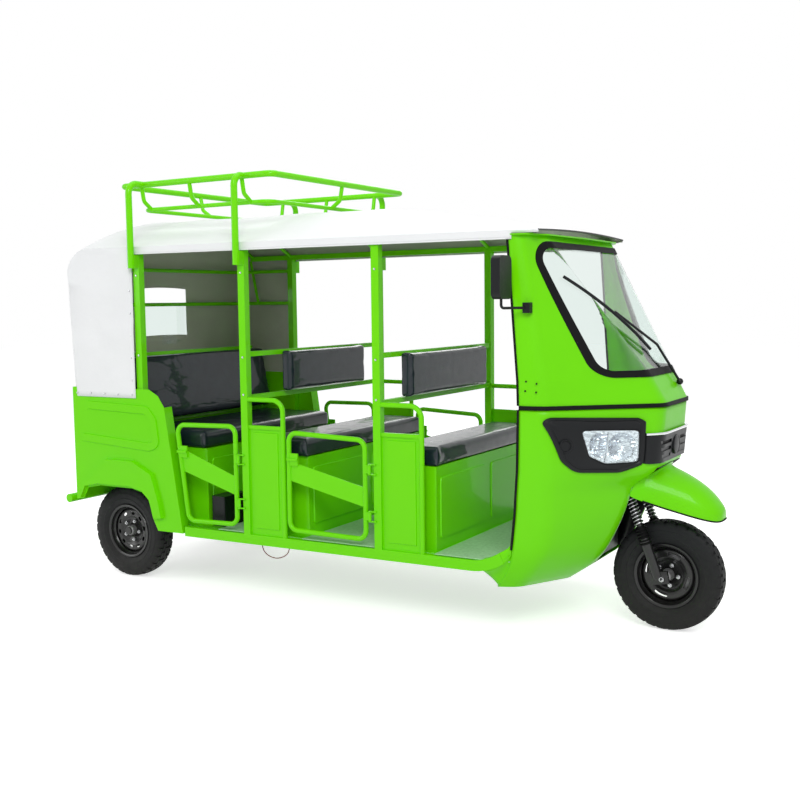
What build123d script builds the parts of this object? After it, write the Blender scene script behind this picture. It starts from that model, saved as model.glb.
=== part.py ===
from build123d import *
import os
from math import atan, cos, degrees, radians, sin, tan

os.makedirs("parts", exist_ok=True)

# Auto rickshaw with three benches. X runs forward, Y to the left, Z up; the
# ground is Z = 0 and X = 0 is the middle of the whole length. Millimetres.

# ---------------------------------------------------------------- stations, X
x_rear_face = -1680        # outside of the rear tub and tailboard
x_rear_axle = -1468
x_post1, x_post2, x_post3 = -1195, -510, 260
x_cab_rear = 980           # rear edge of the cab shell at the waist
x_front_axle = 1484
x_bumper = -1745

# ---------------------------------------------------------------- heights, Z
z_sill_bottom = 316
z_floor = 366              # top of sills and chassis rails
z_bench = 775              # top of the seat boxes
z_waist_low, z_waist_high = 1066, 1084
z_rail = 1820              # underside of the roof rails
z_crown = 2036             # top of the canopy
z_rack = 2183              # centre of the rack's top tube

# ---------------------------------------------------------------- widths
half_post2 = 656           # side plane at the middle post
taper = 0.056              # the sides close in towards the front
side_turn = atan(taper)

# ---------------------------------------------------------------- sections
post_size, post_wall = 40, 2
sill_deep = 40
tube_d = 25                # gates and armrest loops
rack_tube_d = 32
rib_tube_d = 22
sheet = 3                  # pressed steel
floor_sheet = 5
cab_wall = 5
canopy_wall = 4

# The side plane: local x runs forward from the middle post, local y is up and
# the normal points out of the right-hand side.
side = Plane(origin=(x_post2, -half_post2, 0),
             x_dir=(cos(side_turn), sin(side_turn), 0),
             z_dir=(sin(side_turn), -cos(side_turn), 0))


def along(x):
    """Distance along the side plane of a station x."""
    return (x - x_post2) / cos(side_turn)


def half_at(x, inset=0):
    """Half width of the body at station x, on a plane inset from the side."""
    return half_post2 - taper * (x - x_post2) - inset / cos(side_turn)


def deck(x0, x1, inset):
    """Corners of a floor outline that keeps one inset from both sides."""
    return [(x0, -half_at(x0, inset)), (x1, -half_at(x1, inset)),
            (x1, half_at(x1, inset)), (x0, half_at(x0, inset))]


def upright(s, out, z):
    """Level plane at a side-plane place, turned with the side."""
    spot = side.from_local_coords(Vector(s, z, out))
    return Plane(origin=spot, x_dir=side.x_dir, z_dir=(0, 0, 1))


def across(path):
    """Plane square to the start of a path."""
    return Plane(origin=path.line @ 0, z_dir=path.line % 0)


# ================================================================ underneath
rail_gap = 300             # centre of each chassis rail from the middle
rail_width, rail_deep = 50, 60
rail_kick = 90             # how far the rails rise over the rear axle
bumper_r, bumper_past, z_bumper = 24, 8, 456   # the tube runs past the tailboard's corners
rail_profile = [(x_bumper + bumper_r, z_floor + rail_kick), (-1220, z_floor + rail_kick),
                (-1080, z_floor), (1080, z_floor), (1080, z_floor - rail_deep),
                (-1060, z_floor - rail_deep), (-1240, z_floor + rail_kick - rail_deep),
                (x_bumper + bumper_r, z_floor + rail_kick - rail_deep)]
cross_members = [-870, -560, -90, 250, 560, 845]      # x of each centre
cross_width = 50
with BuildPart() as chassis_rails:
    for y in (-rail_gap, rail_gap):
        with BuildSketch(Plane.XZ.offset(-y - rail_width / 2)):
            Polygon(*rail_profile, align=None)
        extrude(amount=rail_width)
rear_members = [(x_rear_face + 45, 2 * rail_gap), (-1290, 2 * rail_gap)]     # x, length
with BuildPart() as chassis_members:
    for x in cross_members:
        with BuildSketch(Plane.XY.offset(z_floor - rail_deep + 10)):
            Polygon(*deck(x - cross_width / 2, x + cross_width / 2, sill_deep), align=None)
        extrude(amount=rail_deep - 10)
    for x, length in rear_members:
        with BuildSketch(Plane.XY.offset(z_floor + rail_kick - rail_deep + 10)):
            with Locations((x, 0)):
                Rectangle(cross_width, length)
        extrude(amount=rail_deep - 10)
    add(chassis_rails.part, mode=Mode.SUBTRACT)

sill_profile_x = [-918, 740, 905]                     # rear end, kick-up, front end
with BuildPart() as side_sills:
    with BuildSketch(side):
        with BuildLine():
            s0, s1, s2 = [along(x) for x in sill_profile_x]
            Line((s0, z_sill_bottom), (s1, z_sill_bottom))
            RadiusArc((s1, z_sill_bottom), (s2, z_sill_bottom + 50), -290)
            Line((s2, z_sill_bottom + 50), (s2 - 22, z_floor + 48))
            RadiusArc((s2 - 22, z_floor + 48), (s1, z_floor), 245)
            Line((s1, z_floor), (s0, z_floor))
            Line((s0, z_floor), (s0, z_sill_bottom))
        make_face()
    extrude(amount=-sill_deep)
    mirror(about=Plane.XZ)

x_floor_rear, x_tub_clear, x_cab_floor = -1070, -916, 925
with BuildPart() as floor_pan:
    with BuildSketch(Plane.XY.offset(z_floor)):
        Polygon(*deck(x_floor_rear, x_tub_clear, post_size + 22), align=None)
        Polygon(*deck(x_tub_clear, x_cab_floor, post_size + 1), align=None)
    extrude(amount=floor_sheet)

z_pan = z_floor + floor_sheet
mat_thick = 4
mat_spans = [(-705, -495), (-182, 245), (552, 1090)]  # rear, front of each leg space
with BuildPart() as floor_mats:
    for x0, x1 in mat_spans:
        with BuildSketch(Plane.XY.offset(z_pan)):
            if x1 < 905:
                Polygon(*deck(x0, x1, post_size + 12), align=None)
            else:
                with Locations(((x0 + x1) / 2, 0)):
                    Rectangle(x1 - x0, 700)
        extrude(amount=mat_thick)

axle_z, axle_r = 262, 30
spring_y = rail_gap
hub_face = 516             # inner face of the rear wheels' mounting discs
stub_r = 22
with BuildPart() as rear_axle:
    with BuildSketch(Plane.XZ.offset(-(hub_face - 60))):
        with Locations((x_rear_axle, axle_z)):
            Circle(axle_r)
    extrude(amount=2 * (hub_face - 60))
    with Locations((x_rear_axle, 0, axle_z)):
        Sphere(105)
    # per side: distance from the middle to the inner face, radius, length
    for y, r, length in ((hub_face - 62, 100, 52), (hub_face - 12, 45, 10)):
        for turn in (-1, 1):
            with Locations(Pos(x_rear_axle, turn * (y + length / 2), axle_z) * Rot(90, 0, 0)):
                Cylinder(r, length)
    for turn in (-1, 1):
        with Locations(Pos(x_rear_axle, turn * (hub_face + 10), axle_z) * Rot(90, 0, 0)):
            Cylinder(stub_r, 60)

leaf_width, leaf_thick = 60, 9
leaf_rows = [(326, 0), (260, -9), (190, -18)]         # length, drop below the main leaf
z_leaf = axle_z + axle_r + 27 + 2
with BuildPart() as leaf_springs:
    for y in (-spring_y, spring_y):
        for length, drop in leaf_rows:
            with BuildSketch(Plane.XZ.offset(-y - leaf_width / 2)):
                with Locations((x_rear_axle, z_leaf + drop + leaf_thick / 2)):
                    Rectangle(length, leaf_thick)
            extrude(amount=leaf_width)
        for end in (-1, 1):
            with Locations((x_rear_axle + end * 150, y, (z_leaf + z_floor + rail_kick - rail_deep) / 2)):
                Box(26, leaf_width, z_floor + rail_kick - rail_deep - z_leaf)
        with Locations((x_rear_axle, y, z_leaf - 18 - 5.5)):
            Box(90, leaf_width, 11)

engine_size = (220, 360, 250)
engine_x = 415
with BuildPart() as engine_block:
    with Locations((engine_x, 0, z_pan + sheet + engine_size[2] / 2)):
        Box(*engine_size)
shaft_r = 22
shaft_z0, shaft_z1 = axle_z, 286
with BuildPart() as drive_shaft:
    with BuildLine() as shaft_path:
        Line((x_rear_axle + 98, 0, shaft_z0 + 2), (130, 0, shaft_z1))
    with BuildSketch(across(shaft_path)):
        Circle(shaft_r)
    sweep()
    with Locations((160, 0, 318)):
        Box(70, 110, 96)

# ================================================================ rear tub
tub_out = 8                # tub side stands this far outside the side plane
z_tub_top = 1094
x_tub_front_top, x_tub_front_low = -1046, -925
tub_outline = [(x_rear_face, z_tub_top), (-1130, z_tub_top),
               (x_tub_front_top - 22, 1060), (-1028, 1000), (x_tub_front_low, 330),
               (-1095, 330), (-1130, 400), (-1154, 493), (-1200, 532), (-1270, 548),
               (-1500, 548), (-1590, 530), (-1626, 468), (x_rear_face, 460)]
arch_band = [(-1640, 470), (-1606, 560), (-1440, 705), (-1250, 705), (-1115, 640),
             (-1070, 500), (-1050, 400), (-1108, 395), (-1140, 496), (-1190, 542),
             (-1270, 558), (-1500, 558), (-1595, 538), (-1630, 470)]
band_out = 22
# pressed C of the side: centre line, then the height of the bead
bead_paths = [[(-1570, 997), (-1150, 982), (-1105, 930), (-1088, 800), (-1140, 783), (-1612, 815)]]
bead_width = 46
bead_out = 7
with BuildPart() as rear_tub:
    with BuildSketch(side.offset(tub_out - sheet)):
        Polygon(*[(along(x), z) for x, z in tub_outline], align=None)
    extrude(amount=sheet)
    with BuildSketch(side.offset(tub_out)):
        Polygon(*[(along(x), z) for x, z in arch_band], align=None)
    extrude(amount=band_out, taper=12)
    for path in bead_paths:
        with BuildSketch(side.offset(tub_out)):
            with BuildLine() as bead:
                FilletPolyline(*[(along(x), z) for x, z in path], radius=30)
            trace(bead.line, bead_width)
        extrude(amount=bead_out, taper=20)
    # front return of the tub, towards the seat
    with BuildSketch(side.offset(tub_out - sheet)):
        Polygon(*[(along(x), z) for x, z in
                  ((-1028, 1000), (x_tub_front_low, 330), (x_tub_front_low - 3, 330),
                   (-1031, 1000))], align=None)
    extrude(amount=-60)
    mirror(about=Plane.XZ)

# inner wheel houses under the rear bench, closed above and towards the middle
house_in, z_house = 395, 620
x_house0, x_house1 = x_rear_face + sheet, -1090
with BuildPart() as wheel_houses:
    with BuildSketch(Plane.XY.offset(z_house - sheet)):
        Polygon((x_house0, -half_at(x_house0, sheet - tub_out)),
                (x_house1, -half_at(x_house1, sheet - tub_out)),
                (x_house1, -house_in), (x_house0, -house_in), align=None)
    extrude(amount=sheet)
    with BuildSketch(Plane.XZ.offset(house_in)):
        Polygon((x_house0, z_floor + rail_kick), (x_house0, z_house),
                (x_house1, z_house), (x_house1, z_floor + 10),
                (-1150, z_floor + 10), (-1150, z_floor + rail_kick), align=None)
    extrude(amount=-sheet)
    with BuildSketch(Plane.YZ.offset(x_house1 - sheet)):
        Polygon((-half_at(x_house1, sheet - tub_out), 377), (-half_at(x_house1, sheet - tub_out), z_house),
                (-house_in, z_house), (-house_in, 377), align=None)
    extrude(amount=sheet)
    mirror(about=Plane.XZ)

z_tail_low = z_floor + rail_kick
tail_half = half_at(x_rear_face, sheet - tub_out) - 0.4
with BuildPart() as tailboard:
    with BuildSketch(Plane.YZ.offset(x_rear_face)):
        with Locations((0, (z_tail_low + z_tub_top) / 2)):
            Rectangle(2 * tail_half, z_tub_top - z_tail_low)
    extrude(amount=sheet)
    with BuildSketch(Plane.YZ.offset(x_rear_face)):
        with Locations((0, 940), (0, 620)):
            RectangleRounded(900, 90, 40)
    extrude(amount=-10, taper=25)
    # number plate holes: spacing across, height of the row
    plate_spacing, plate_hole_r, plate_z = 180, 3.5, 780
    with BuildSketch(Plane.YZ.offset(x_rear_face - 1)):
        with Locations((-plate_spacing / 2, plate_z), (plate_spacing / 2, plate_z)):
            Circle(plate_hole_r)
    extrude(amount=sheet + 2, mode=Mode.SUBTRACT)

lamp_y, lamp_z = 600, 780
with BuildPart() as tail_lamps:
    with BuildSketch(Plane.YZ.offset(x_rear_face)):
        with Locations((lamp_y, lamp_z), (-lamp_y, lamp_z)):
            RectangleRounded(90, 190, 18)
    extrude(amount=-32, taper=6)

with BuildPart() as rear_bumper:
    bumper_half = half_at(x_rear_face) + bumper_past
    with BuildSketch(Plane.XZ.offset(-bumper_half)):
        with Locations((x_bumper, z_bumper)):
            Circle(bumper_r)
    extrude(amount=2 * bumper_half)
    for y in (-rail_gap, rail_gap):
        with Locations(((x_bumper + x_rear_face) / 2, y, z_floor + rail_kick + 7)):
            Box(x_rear_face - x_bumper, rail_width, 14)

# ================================================================ frame
posts = [(x_post1, z_house), (x_post2, z_floor), (x_post3, z_floor)]   # station, foot
with BuildPart() as post_set:
    for x, foot in posts:
        with BuildSketch(upright(along(x), -post_size / 2, foot)):
            Rectangle(post_size, post_size)
            Rectangle(post_size - 2 * post_wall, post_size - 2 * post_wall, mode=Mode.SUBTRACT)
        extrude(amount=z_rail - foot)
    mirror(about=Plane.XZ)

rail_section = 30
x_rail0, x_rail1 = -1530, 910
bow_stations = [-1515, x_post1, x_post2, x_post3, 640]
bow_tube_r = 11


crown_rows = [(0, z_crown), (430, 1980), (920, 1897), (1060, 1864)]    # station, height


def crown_at(x):
    """Height of the canopy's crown above station x: level, then falling."""
    if x <= 0:
        return z_crown
    for (x0, z0), (x1, z1) in zip(crown_rows, crown_rows[1:]):
        if x <= x1:
            return z0 + (z1 - z0) * (x - x0) / (x1 - x0)


with BuildPart() as roof_frame:
    with BuildSketch(side.offset(-12)):
        with Locations(((along(x_rail0) + along(x_rail1)) / 2, z_rail + rail_section / 2)):
            Rectangle(along(x_rail1) - along(x_rail0), rail_section)
    extrude(amount=-rail_section)
    mirror(about=Plane.XZ)
    for x in bow_stations:
        w = half_at(x, 20)
        with BuildLine() as bow:
            ThreePointArc((x, -w, z_rail + 15), (x, 0, crown_at(x) - 24), (x, w, z_rail + 15))
        with BuildSketch(across(bow)):
            Circle(bow_tube_r)
        sweep()

# rails that stiffen the rear of the passenger frame, bent round its corners
rear_rail_heights = [1545, 1750]
rear_rail_r = 11
with BuildPart() as rear_rails:
    for z in rear_rail_heights:
        w0, w1 = half_at(x_post1, post_size / 2), half_at(-1640, 60)
        with BuildLine() as rail:
            FilletPolyline((x_post1 - 22.5, -w0, z), (-1630, -w1, z), (-1630, w1, z),
                           (x_post1 - 22.5, w0, z), radius=110)
        with BuildSketch(across(rail)):
            Circle(rear_rail_r)
        sweep()
    for turn in (-1, 1):
        with BuildLine() as strut:
            Line((-1460, turn * (half_at(-1460, 52)), 1540), (-1540, turn * half_at(-1540, 30), z_rail - 2.6))
        with BuildSketch(across(strut)):
            Circle(9)
        sweep()

# cross rails of the two backrests: station, heights
back_rails = [(x_post2, 1068, 1290), (x_post3, 1068, 1294)]
back_rail_size = 25
with BuildPart() as backrest_rails:
    for x, *levels in back_rails:
        for z in levels:
            with BuildSketch(Plane.XY.offset(z - back_rail_size / 2)):
                Polygon(*deck(x - back_rail_size / 2, x + back_rail_size / 2, post_size), align=None)
            extrude(amount=back_rail_size)

# ================================================================ side panels
# Armrest loops with a sheet below: post station, far upright, loop top, cross rail.
panel_rows = [(x_post2, -283, 1062, 930), (x_post3, 492, 1062, 930)]
panel_in = 8               # sheet sits this far inside the tubes' outer face
with BuildPart() as side_panels:
    for x_post, x_far, z_top, z_cross in panel_rows:
        s_post = along(x_post) + post_size / 2
        s_far = along(x_far)
        with BuildLine(side.offset(-tube_d / 2)) as loop:
            FilletPolyline((s_post + 0.5, z_top), (s_far, z_top), (s_far, z_floor), radius=60)
        with BuildSketch(across(loop)):
            Circle(tube_d / 2)
        sweep()
        with BuildSketch(side.offset(-tube_d + 4)):
            with Locations(((s_post + s_far) / 2, z_cross - 9)):
                Rectangle(s_far - s_post, 18)
        extrude(amount=16)
        with BuildSketch(side.offset(-tube_d / 2 - sheet)):
            with Locations(((s_post + s_far) / 2, (z_floor + z_cross) / 2)):
                Rectangle(s_far - s_post, z_cross - z_floor)
        extrude(amount=sheet)
        with BuildSketch(side.offset(-tube_d / 2)):
            with Locations(((s_post + s_far) / 2, (z_floor + z_cross) / 2)):
                Rectangle(s_far - s_post - 60, z_cross - z_floor - 70)
        extrude(amount=5, taper=20)
    mirror(about=Plane.XZ)

# ================================================================ gates
hinge_pin_r, hinge_play = 4, 0.5
knuckle_r, knuckle_high = 8, 40
hinge_levels = [524, 752]
hinge_out = 10             # pin centre outside the side plane
hinge_gap = 18             # pin centre behind the post's face
gate_rows = {
    # name: post station, [corners of the tube's centre line], plate ends (s, z low, z high)
    "front": (x_post3, [(-246, 414), (192, 406), (192, 888), (-244, 905)],
              [(-238, 664, 762), (180, 566, 662)], -210),
    "rear": (x_post2, [(-888, 404), (-572, 410), (-572, 920), (-952, 912)],
             [(-928, 672, 790), (-584, 566, 662)], -905),
}


def make_gate(post_x, corners, plate, x_latch):
    s_hinge = along(post_x) - post_size / 2 - hinge_gap
    with BuildPart() as gate:
        with BuildLine(side.offset(hinge_out - 14)) as ring:
            FilletPolyline(*[(along(x), z) for x, z in corners], radius=45, close=True)
        with BuildSketch(across(ring)):
            Circle(tube_d / 2)
        sweep()
        # slanting sheet bar
        (x0, low0, high0), (x1, low1, high1) = plate
        with BuildSketch(side.offset(hinge_out - 14 - 2)):
            Polygon((along(x0), low0), (along(x1), low1), (along(x1), high1),
                    (along(x0), high0), align=None)
        extrude(amount=4)
        # knuckles and their webs
        s_tube = along(corners[1][0])
        for z in hinge_levels:
            with BuildSketch(upright(s_hinge, hinge_out, z - knuckle_high / 2)):
                Circle(knuckle_r)
                with Locations(((s_tube - s_hinge) / 2, 4)):
                    Rectangle(abs(s_hinge - s_tube), 6)
            extrude(amount=knuckle_high)
        for z in hinge_levels:
            with BuildSketch(upright(s_hinge, hinge_out, z - knuckle_high / 2 - 1)):
                Circle(hinge_pin_r + hinge_play)
            extrude(amount=knuckle_high + 2, mode=Mode.SUBTRACT)
        # slide latch: body, bolt, knob
        s_latch, z_latch = along(x_latch), 772
        with Locations(side.location * Pos(s_latch, z_latch, hinge_out - 14 + 8)):
            Box(46, 62, 9)
        with Locations(side.location * Pos(s_latch - 8, z_latch, hinge_out - 14 + 14)):
            Box(62, 12, 12)
    return gate


gate_front_right = make_gate(*gate_rows["front"])
gate_rear_right = make_gate(*gate_rows["rear"])
with BuildPart() as gate_front_left:
    mirror(gate_front_right.part, about=Plane.XZ)
with BuildPart() as gate_rear_left:
    mirror(gate_rear_right.part, about=Plane.XZ)

lug_thick, lug_gap = 6, 1
with BuildPart() as hinge_pins:
    for post_x in (x_post2, x_post3):
        s_hinge = along(post_x) - post_size / 2 - hinge_gap
        for z in hinge_levels:
            reach = knuckle_high / 2 + lug_gap
            with BuildSketch(upright(s_hinge, hinge_out, z - reach - lug_thick)):
                Circle(hinge_pin_r)
            extrude(amount=2 * (reach + lug_thick))
            for low in (z - reach - lug_thick, z + reach):
                with BuildSketch(upright(s_hinge, hinge_out, low)):
                    Circle(hinge_pin_r + 3)
                    with Locations(((hinge_gap) / 2, 3)):
                        Rectangle(hinge_gap, 10)
                    with Locations((hinge_gap + 8 , 5)):
                        Rectangle(16, 10)
                extrude(amount=lug_thick)
    mirror(about=Plane.XZ)

# ================================================================ benches
# Seat boxes: rear face, front face, half width.
box_rows = {"rear": (-1085, -850, 560), "middle": (-480, -190, 548), "driver": (290, 540, 538)}


def make_seat_box(x0, x1, half):
    with BuildPart() as box:
        with Locations(((x0 + x1) / 2, 0, (z_pan + z_bench) / 2)):
            Box(x1 - x0, 2 * half, z_bench - z_pan)
            Box(x1 - x0 - 2 * sheet, 2 * (half - sheet), z_bench - z_pan - 2 * sheet,
                mode=Mode.SUBTRACT)
        with BuildSketch(Plane.YZ.offset(x1)):
            with Locations((-half / 2, (z_pan + z_bench) / 2), (half / 2, (z_pan + z_bench) / 2)):
                RectangleRounded(half - 70, z_bench - z_pan - 110, 18)
        extrude(amount=6, taper=25)
    return box


seat_box_rear = make_seat_box(*box_rows["rear"])
seat_box_middle = make_seat_box(*box_rows["middle"])
seat_box_driver = make_seat_box(*box_rows["driver"])

# Cushions and backrests: x0, x1, half width, z0, z1, corner radius.
pad_rows = {
    "cushion_rear": (-1380, -840, 590, z_bench, 872, 24),
    "cushion_middle": (-490, -175, 590, z_bench, 868, 24),
    "cushion_driver": (285, 560, 556, z_bench, 868, 24),
}


def make_pad(x0, x1, half, z0, z1, soft):
    with BuildPart() as pad:
        with Locations(((x0 + x1) / 2, 0, (z0 + z1) / 2)):
            Box(x1 - x0, 2 * half, z1 - z0)
        fillet(pad.edges().group_by(Axis.Z)[-1], radius=soft)
    return pad


cushion_rear = make_pad(*pad_rows["cushion_rear"])
cushion_middle = make_pad(*pad_rows["cushion_middle"])
cushion_driver = make_pad(*pad_rows["cushion_driver"])

# Backrests stand on the front of the cross rails.
back_rows = {"middle": (x_post2, 372, 1076, 1306), "driver": (x_post3, 425, 1076, 1308)}
back_thick = 66


def make_backrest(x_post, half, z0, z1):
    x0 = x_post + back_rail_size / 2
    with BuildPart() as pad:
        with Locations((x0 + back_thick / 2, 0, (z0 + z1) / 2)):
            Box(back_thick, 2 * half, z1 - z0)
        fillet(pad.edges().group_by(Axis.X)[-1], radius=20)
    return pad


backrest_middle = make_backrest(*back_rows["middle"])
backrest_driver = make_backrest(*back_rows["driver"])

# The rear backrest leans on a board that stands on the bench.
with BuildPart() as backrest_rear:
    with BuildSketch(Plane.XZ.offset(-590)):
        Polygon((-1382, 880), (-1290, 880), (-1372, 1270), (-1464, 1270), align=None)
    extrude(amount=1180)
    fillet(backrest_rear.edges().filter_by(Axis.Y).group_by(Axis.X)[-1], radius=30)
with BuildPart() as bench_support:
    with BuildSketch(Plane.XZ.offset(-585)):
        Polygon((-1383, 874), (-1465, 1272), (-1483, 1272), (-1403, 874),
                (-1403, z_house), (-1383, z_house), (-1383, z_bench - sheet),
                (-1086, z_bench - sheet), (-1086, z_bench), (-1383, z_bench), align=None)
    extrude(amount=1170)

x_battery = -800
with BuildPart() as battery_box:
    with Locations((x_battery + 45, -500, z_pan + 80)):
        Box(90, 190, 160)
    fillet(battery_box.edges().filter_by(Axis.Z), radius=10)

# ================================================================ cab
# Plan sections of the cab shell. Columns: z, x and half width of the rear edge,
# then of the corner where the side turns in with its radius, then of the flat
# of the nose with its radius.
cab_low_rows = [
    (240, 850, 520, 935, 480, 120, 1075, 215, 90),
    (330, 910, 545, 1010, 500, 120, 1195, 215, 100),
    (430, 940, 560, 1070, 525, 120, 1264, 215, 100),
    (600, 962, 570, 1105, 540, 120, 1338, 205, 100),
    (690, 968, 572, 1105, 546, 120, 1366, 200, 100),
    (762, 973, 573, 1108, 551, 120, 1455, 197, 100),
    (790, 975, 573, 1110, 552, 120, 1485, 195, 100),
    (z_waist_low, 980, 573, 1085, 560, 120, 1512, 190, 100),
]
cab_high_rows = [
    (z_waist_high, 980, 573, 1083, 560, 120, 1512, 190, 100),
    (1190, 978, 574, 1078, 562, 120, 1452, 200, 100),
    (1830, 930, 576, 985, 574, 60, 1040, 420, 60),
]


def plan(x_rear, w_rear, x_corner, w_corner, r_corner, x_nose, w_nose, r_nose, inset, back=0):
    """Closed plan outline of the cab, inset by a wall and run on backwards."""
    w_back = w_rear - inset + (w_rear - w_corner) * back / (x_corner - x_rear)
    with BuildSketch(Plane.XY, mode=Mode.PRIVATE) as outline:
        Polygon((x_rear - back, -w_back), (x_corner, -(w_corner - inset)),
                (x_nose - inset * 1.2, -(w_nose - inset * 0.4)),
                (x_nose - inset * 1.2, w_nose - inset * 0.4),
                (x_corner, w_corner - inset), (x_rear - back, w_back), align=None)
        fillet(outline.vertices().sort_by(Axis.X)[2:4], radius=r_corner)
        fillet(outline.vertices().sort_by(Axis.X)[-2:], radius=r_nose)
    return outline.sketch


def cab_solid(rows, inset, back=0):
    with BuildPart(mode=Mode.PRIVATE) as body:
        for z, *row in rows:
            with BuildSketch(Plane.XY.offset(z)):
                add(plan(*row, inset, back))
        loft(ruled=True)
    return body.part


well_half, z_well, x_well = 175, 785, 1175
outer_low = cab_solid(cab_low_rows, 0)
inner_rows = [(cab_low_rows[0][0] + cab_wall,) + cab_low_rows[0][1:]] + cab_low_rows[1:-1] + [
    (z_waist_low + 1,) + cab_low_rows[-1][1:]]
inner_low = cab_solid(inner_rows, cab_wall, back=60)
rake_x, rake_z = 1354, 553  # a point on the steering axis
rake = 20.6                 # degrees the steering axis leans back
steer_dir = Vector(-sin(radians(rake)), 0, cos(radians(rake)))
steer_axis = Plane(origin=(rake_x, 0, rake_z), x_dir=(cos(radians(rake)), 0, sin(radians(rake))),
                   z_dir=steer_dir)
head_out_r, column_r = 36, 22
head_in_r = column_r + 0.3  # running gap of the steering head
with BuildPart() as cab_lower:
    add(outer_low)
    with Locations(((x_well + 2000) / 2, 0, z_well / 2)):
        Box(2000 - x_well, 2 * well_half, z_well, mode=Mode.SUBTRACT)
    with BuildPart(mode=Mode.SUBTRACT):
        add(inner_low)
        with Locations(((x_well - cab_wall + 2000) / 2, 0, (z_well + cab_wall) / 2)):
            Box(2000 - x_well + cab_wall, 2 * (well_half + cab_wall), z_well + cab_wall,
                mode=Mode.SUBTRACT)
    # steering head through the roof of the wheel well
    with Locations(steer_axis.location * Pos(0, 0, 262)):
        Cylinder(head_out_r, 170)
        Cylinder(head_in_r, 200, mode=Mode.SUBTRACT)

with BuildPart() as cab_floor:
    with Locations(((x_cab_floor + x_well - cab_wall) / 2, 0, z_floor + floor_sheet / 2)):
        Box(x_well - cab_wall - x_cab_floor, 1300, floor_sheet)
    add(cab_solid(inner_rows, cab_wall + 0.6, back=60), mode=Mode.INTERSECT)

# Windscreen outline seen from the front: half width, height and radius of each corner.
glass_corners = [(386, 1200, 95), (537, 1805, 88)]
gasket_wide = 30


def screen_outline(shrink):
    """Face of the windscreen, looking along X."""
    with BuildSketch(Plane.YZ.offset(900), mode=Mode.PRIVATE) as face:
        (low_w, low_z, low_r), (top_w, top_z, top_r) = glass_corners
        Polygon((-low_w, low_z), (low_w, low_z), (top_w, top_z), (-top_w, top_z), align=None)
        fillet(face.vertices().sort_by(Axis.Y)[:2], radius=low_r)
        fillet(face.vertices().sort_by(Axis.Y)[-2:], radius=top_r)
        if shrink:
            offset(amount=-shrink, mode=Mode.REPLACE)
    return face.sketch


outer_high = cab_solid(cab_high_rows, 0)
high_inner_rows = [(cab_high_rows[0][0] - 1,) + cab_high_rows[0][1:]] + cab_high_rows[1:-1] + [
    (cab_high_rows[-1][0] - cab_wall,) + cab_high_rows[-1][1:]]
inner_high = cab_solid(high_inner_rows, cab_wall, back=60)
screen_prism = extrude(screen_outline(gasket_wide), amount=700)
opening_prism = extrude(screen_outline(0), amount=700)
with BuildPart() as cab_upper:
    add(outer_high)
    add(inner_high, mode=Mode.SUBTRACT)
    add(opening_prism, mode=Mode.SUBTRACT)
with BuildPart() as windscreen:
    add((outer_high & screen_prism) - (inner_high & screen_prism))
with BuildPart() as windscreen_gasket:
    add((cab_solid(cab_high_rows, -4) & opening_prism) - (inner_high & opening_prism))
    add(screen_prism, mode=Mode.SUBTRACT)

# peak over the windscreen
peak_thick, x_peak, z_peak = 6, 936, 1830
with BuildPart() as cab_peak:
    with BuildSketch(Plane.XY.offset(z_peak)) as lip:
        Polygon((x_peak, -583), (1000, -588), (1062, -430), (1075, 0), (1062, 430),
                (1000, 588), (x_peak, 583), align=None)
        fillet(lip.vertices().sort_by(Axis.X)[2:4], radius=40)
    extrude(amount=peak_thick)

with BuildPart() as waist_strip:
    for inset, mode in ((-6, Mode.ADD), (cab_wall, Mode.SUBTRACT)):
        with BuildSketch(Plane.XY.offset(z_waist_low)):
            add(plan(*cab_low_rows[-1][1:], inset, back=0 if inset < 0 else 60))
        extrude(amount=z_waist_high - z_waist_low, mode=mode)

# rubber strip on the cab's rear edge
trim_out, trim_deep = 4, 10
trim_skip = 2              # the strip starts above the two lowest sections
with BuildPart() as edge_trims:
    for rows in (cab_low_rows, cab_high_rows):
        with BuildPart():
            for z, x_rear, w_rear, *_ in rows[trim_skip:] if rows is cab_low_rows else rows:
                with BuildSketch(Plane.XY.offset(z)):
                    Polygon((x_rear - trim_deep, -w_rear - trim_out), (x_rear, -w_rear - trim_out),
                            (x_rear, -w_rear + cab_wall + 4),
                            (x_rear - trim_deep, -w_rear + cab_wall + 4), align=None)
            loft(ruled=True)
    mirror(about=Plane.XZ)

# lamp panels and grille lie on the shell: outlines seen from the front (Y, Z)
bezel_out, lens_out, grille_out = 9, 12, 11
bezel_outline = [(-557, 1036), (-268, 1022), (-252, 1006), (-252, 815), (-320, 778),
                 (-470, 788), (-514, 842), (-555, 1004)]
lens_outline = [(-446, 972), (-268, 965), (-266, 826), (-372, 824), (-424, 860)]
grille_outline = [(-248, 946), (248, 946), (248, 812), (-248, 812)]
grille_bars = [(840, 16), (872, 16), (904, 16)]        # height, width of each slot


def on_shell(points, rows, out, rounding):
    """Piece that follows the shell, out to a thickness, inside a front outline."""
    with BuildSketch(Plane.YZ.offset(1000), mode=Mode.PRIVATE) as face:
        Polygon(*points, align=None)
        fillet(face.vertices(), radius=rounding)
    prism = extrude(face.sketch, amount=600, mode=Mode.PRIVATE)
    return (cab_solid(rows, -out) & prism) - cab_solid(rows, 0)


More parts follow.
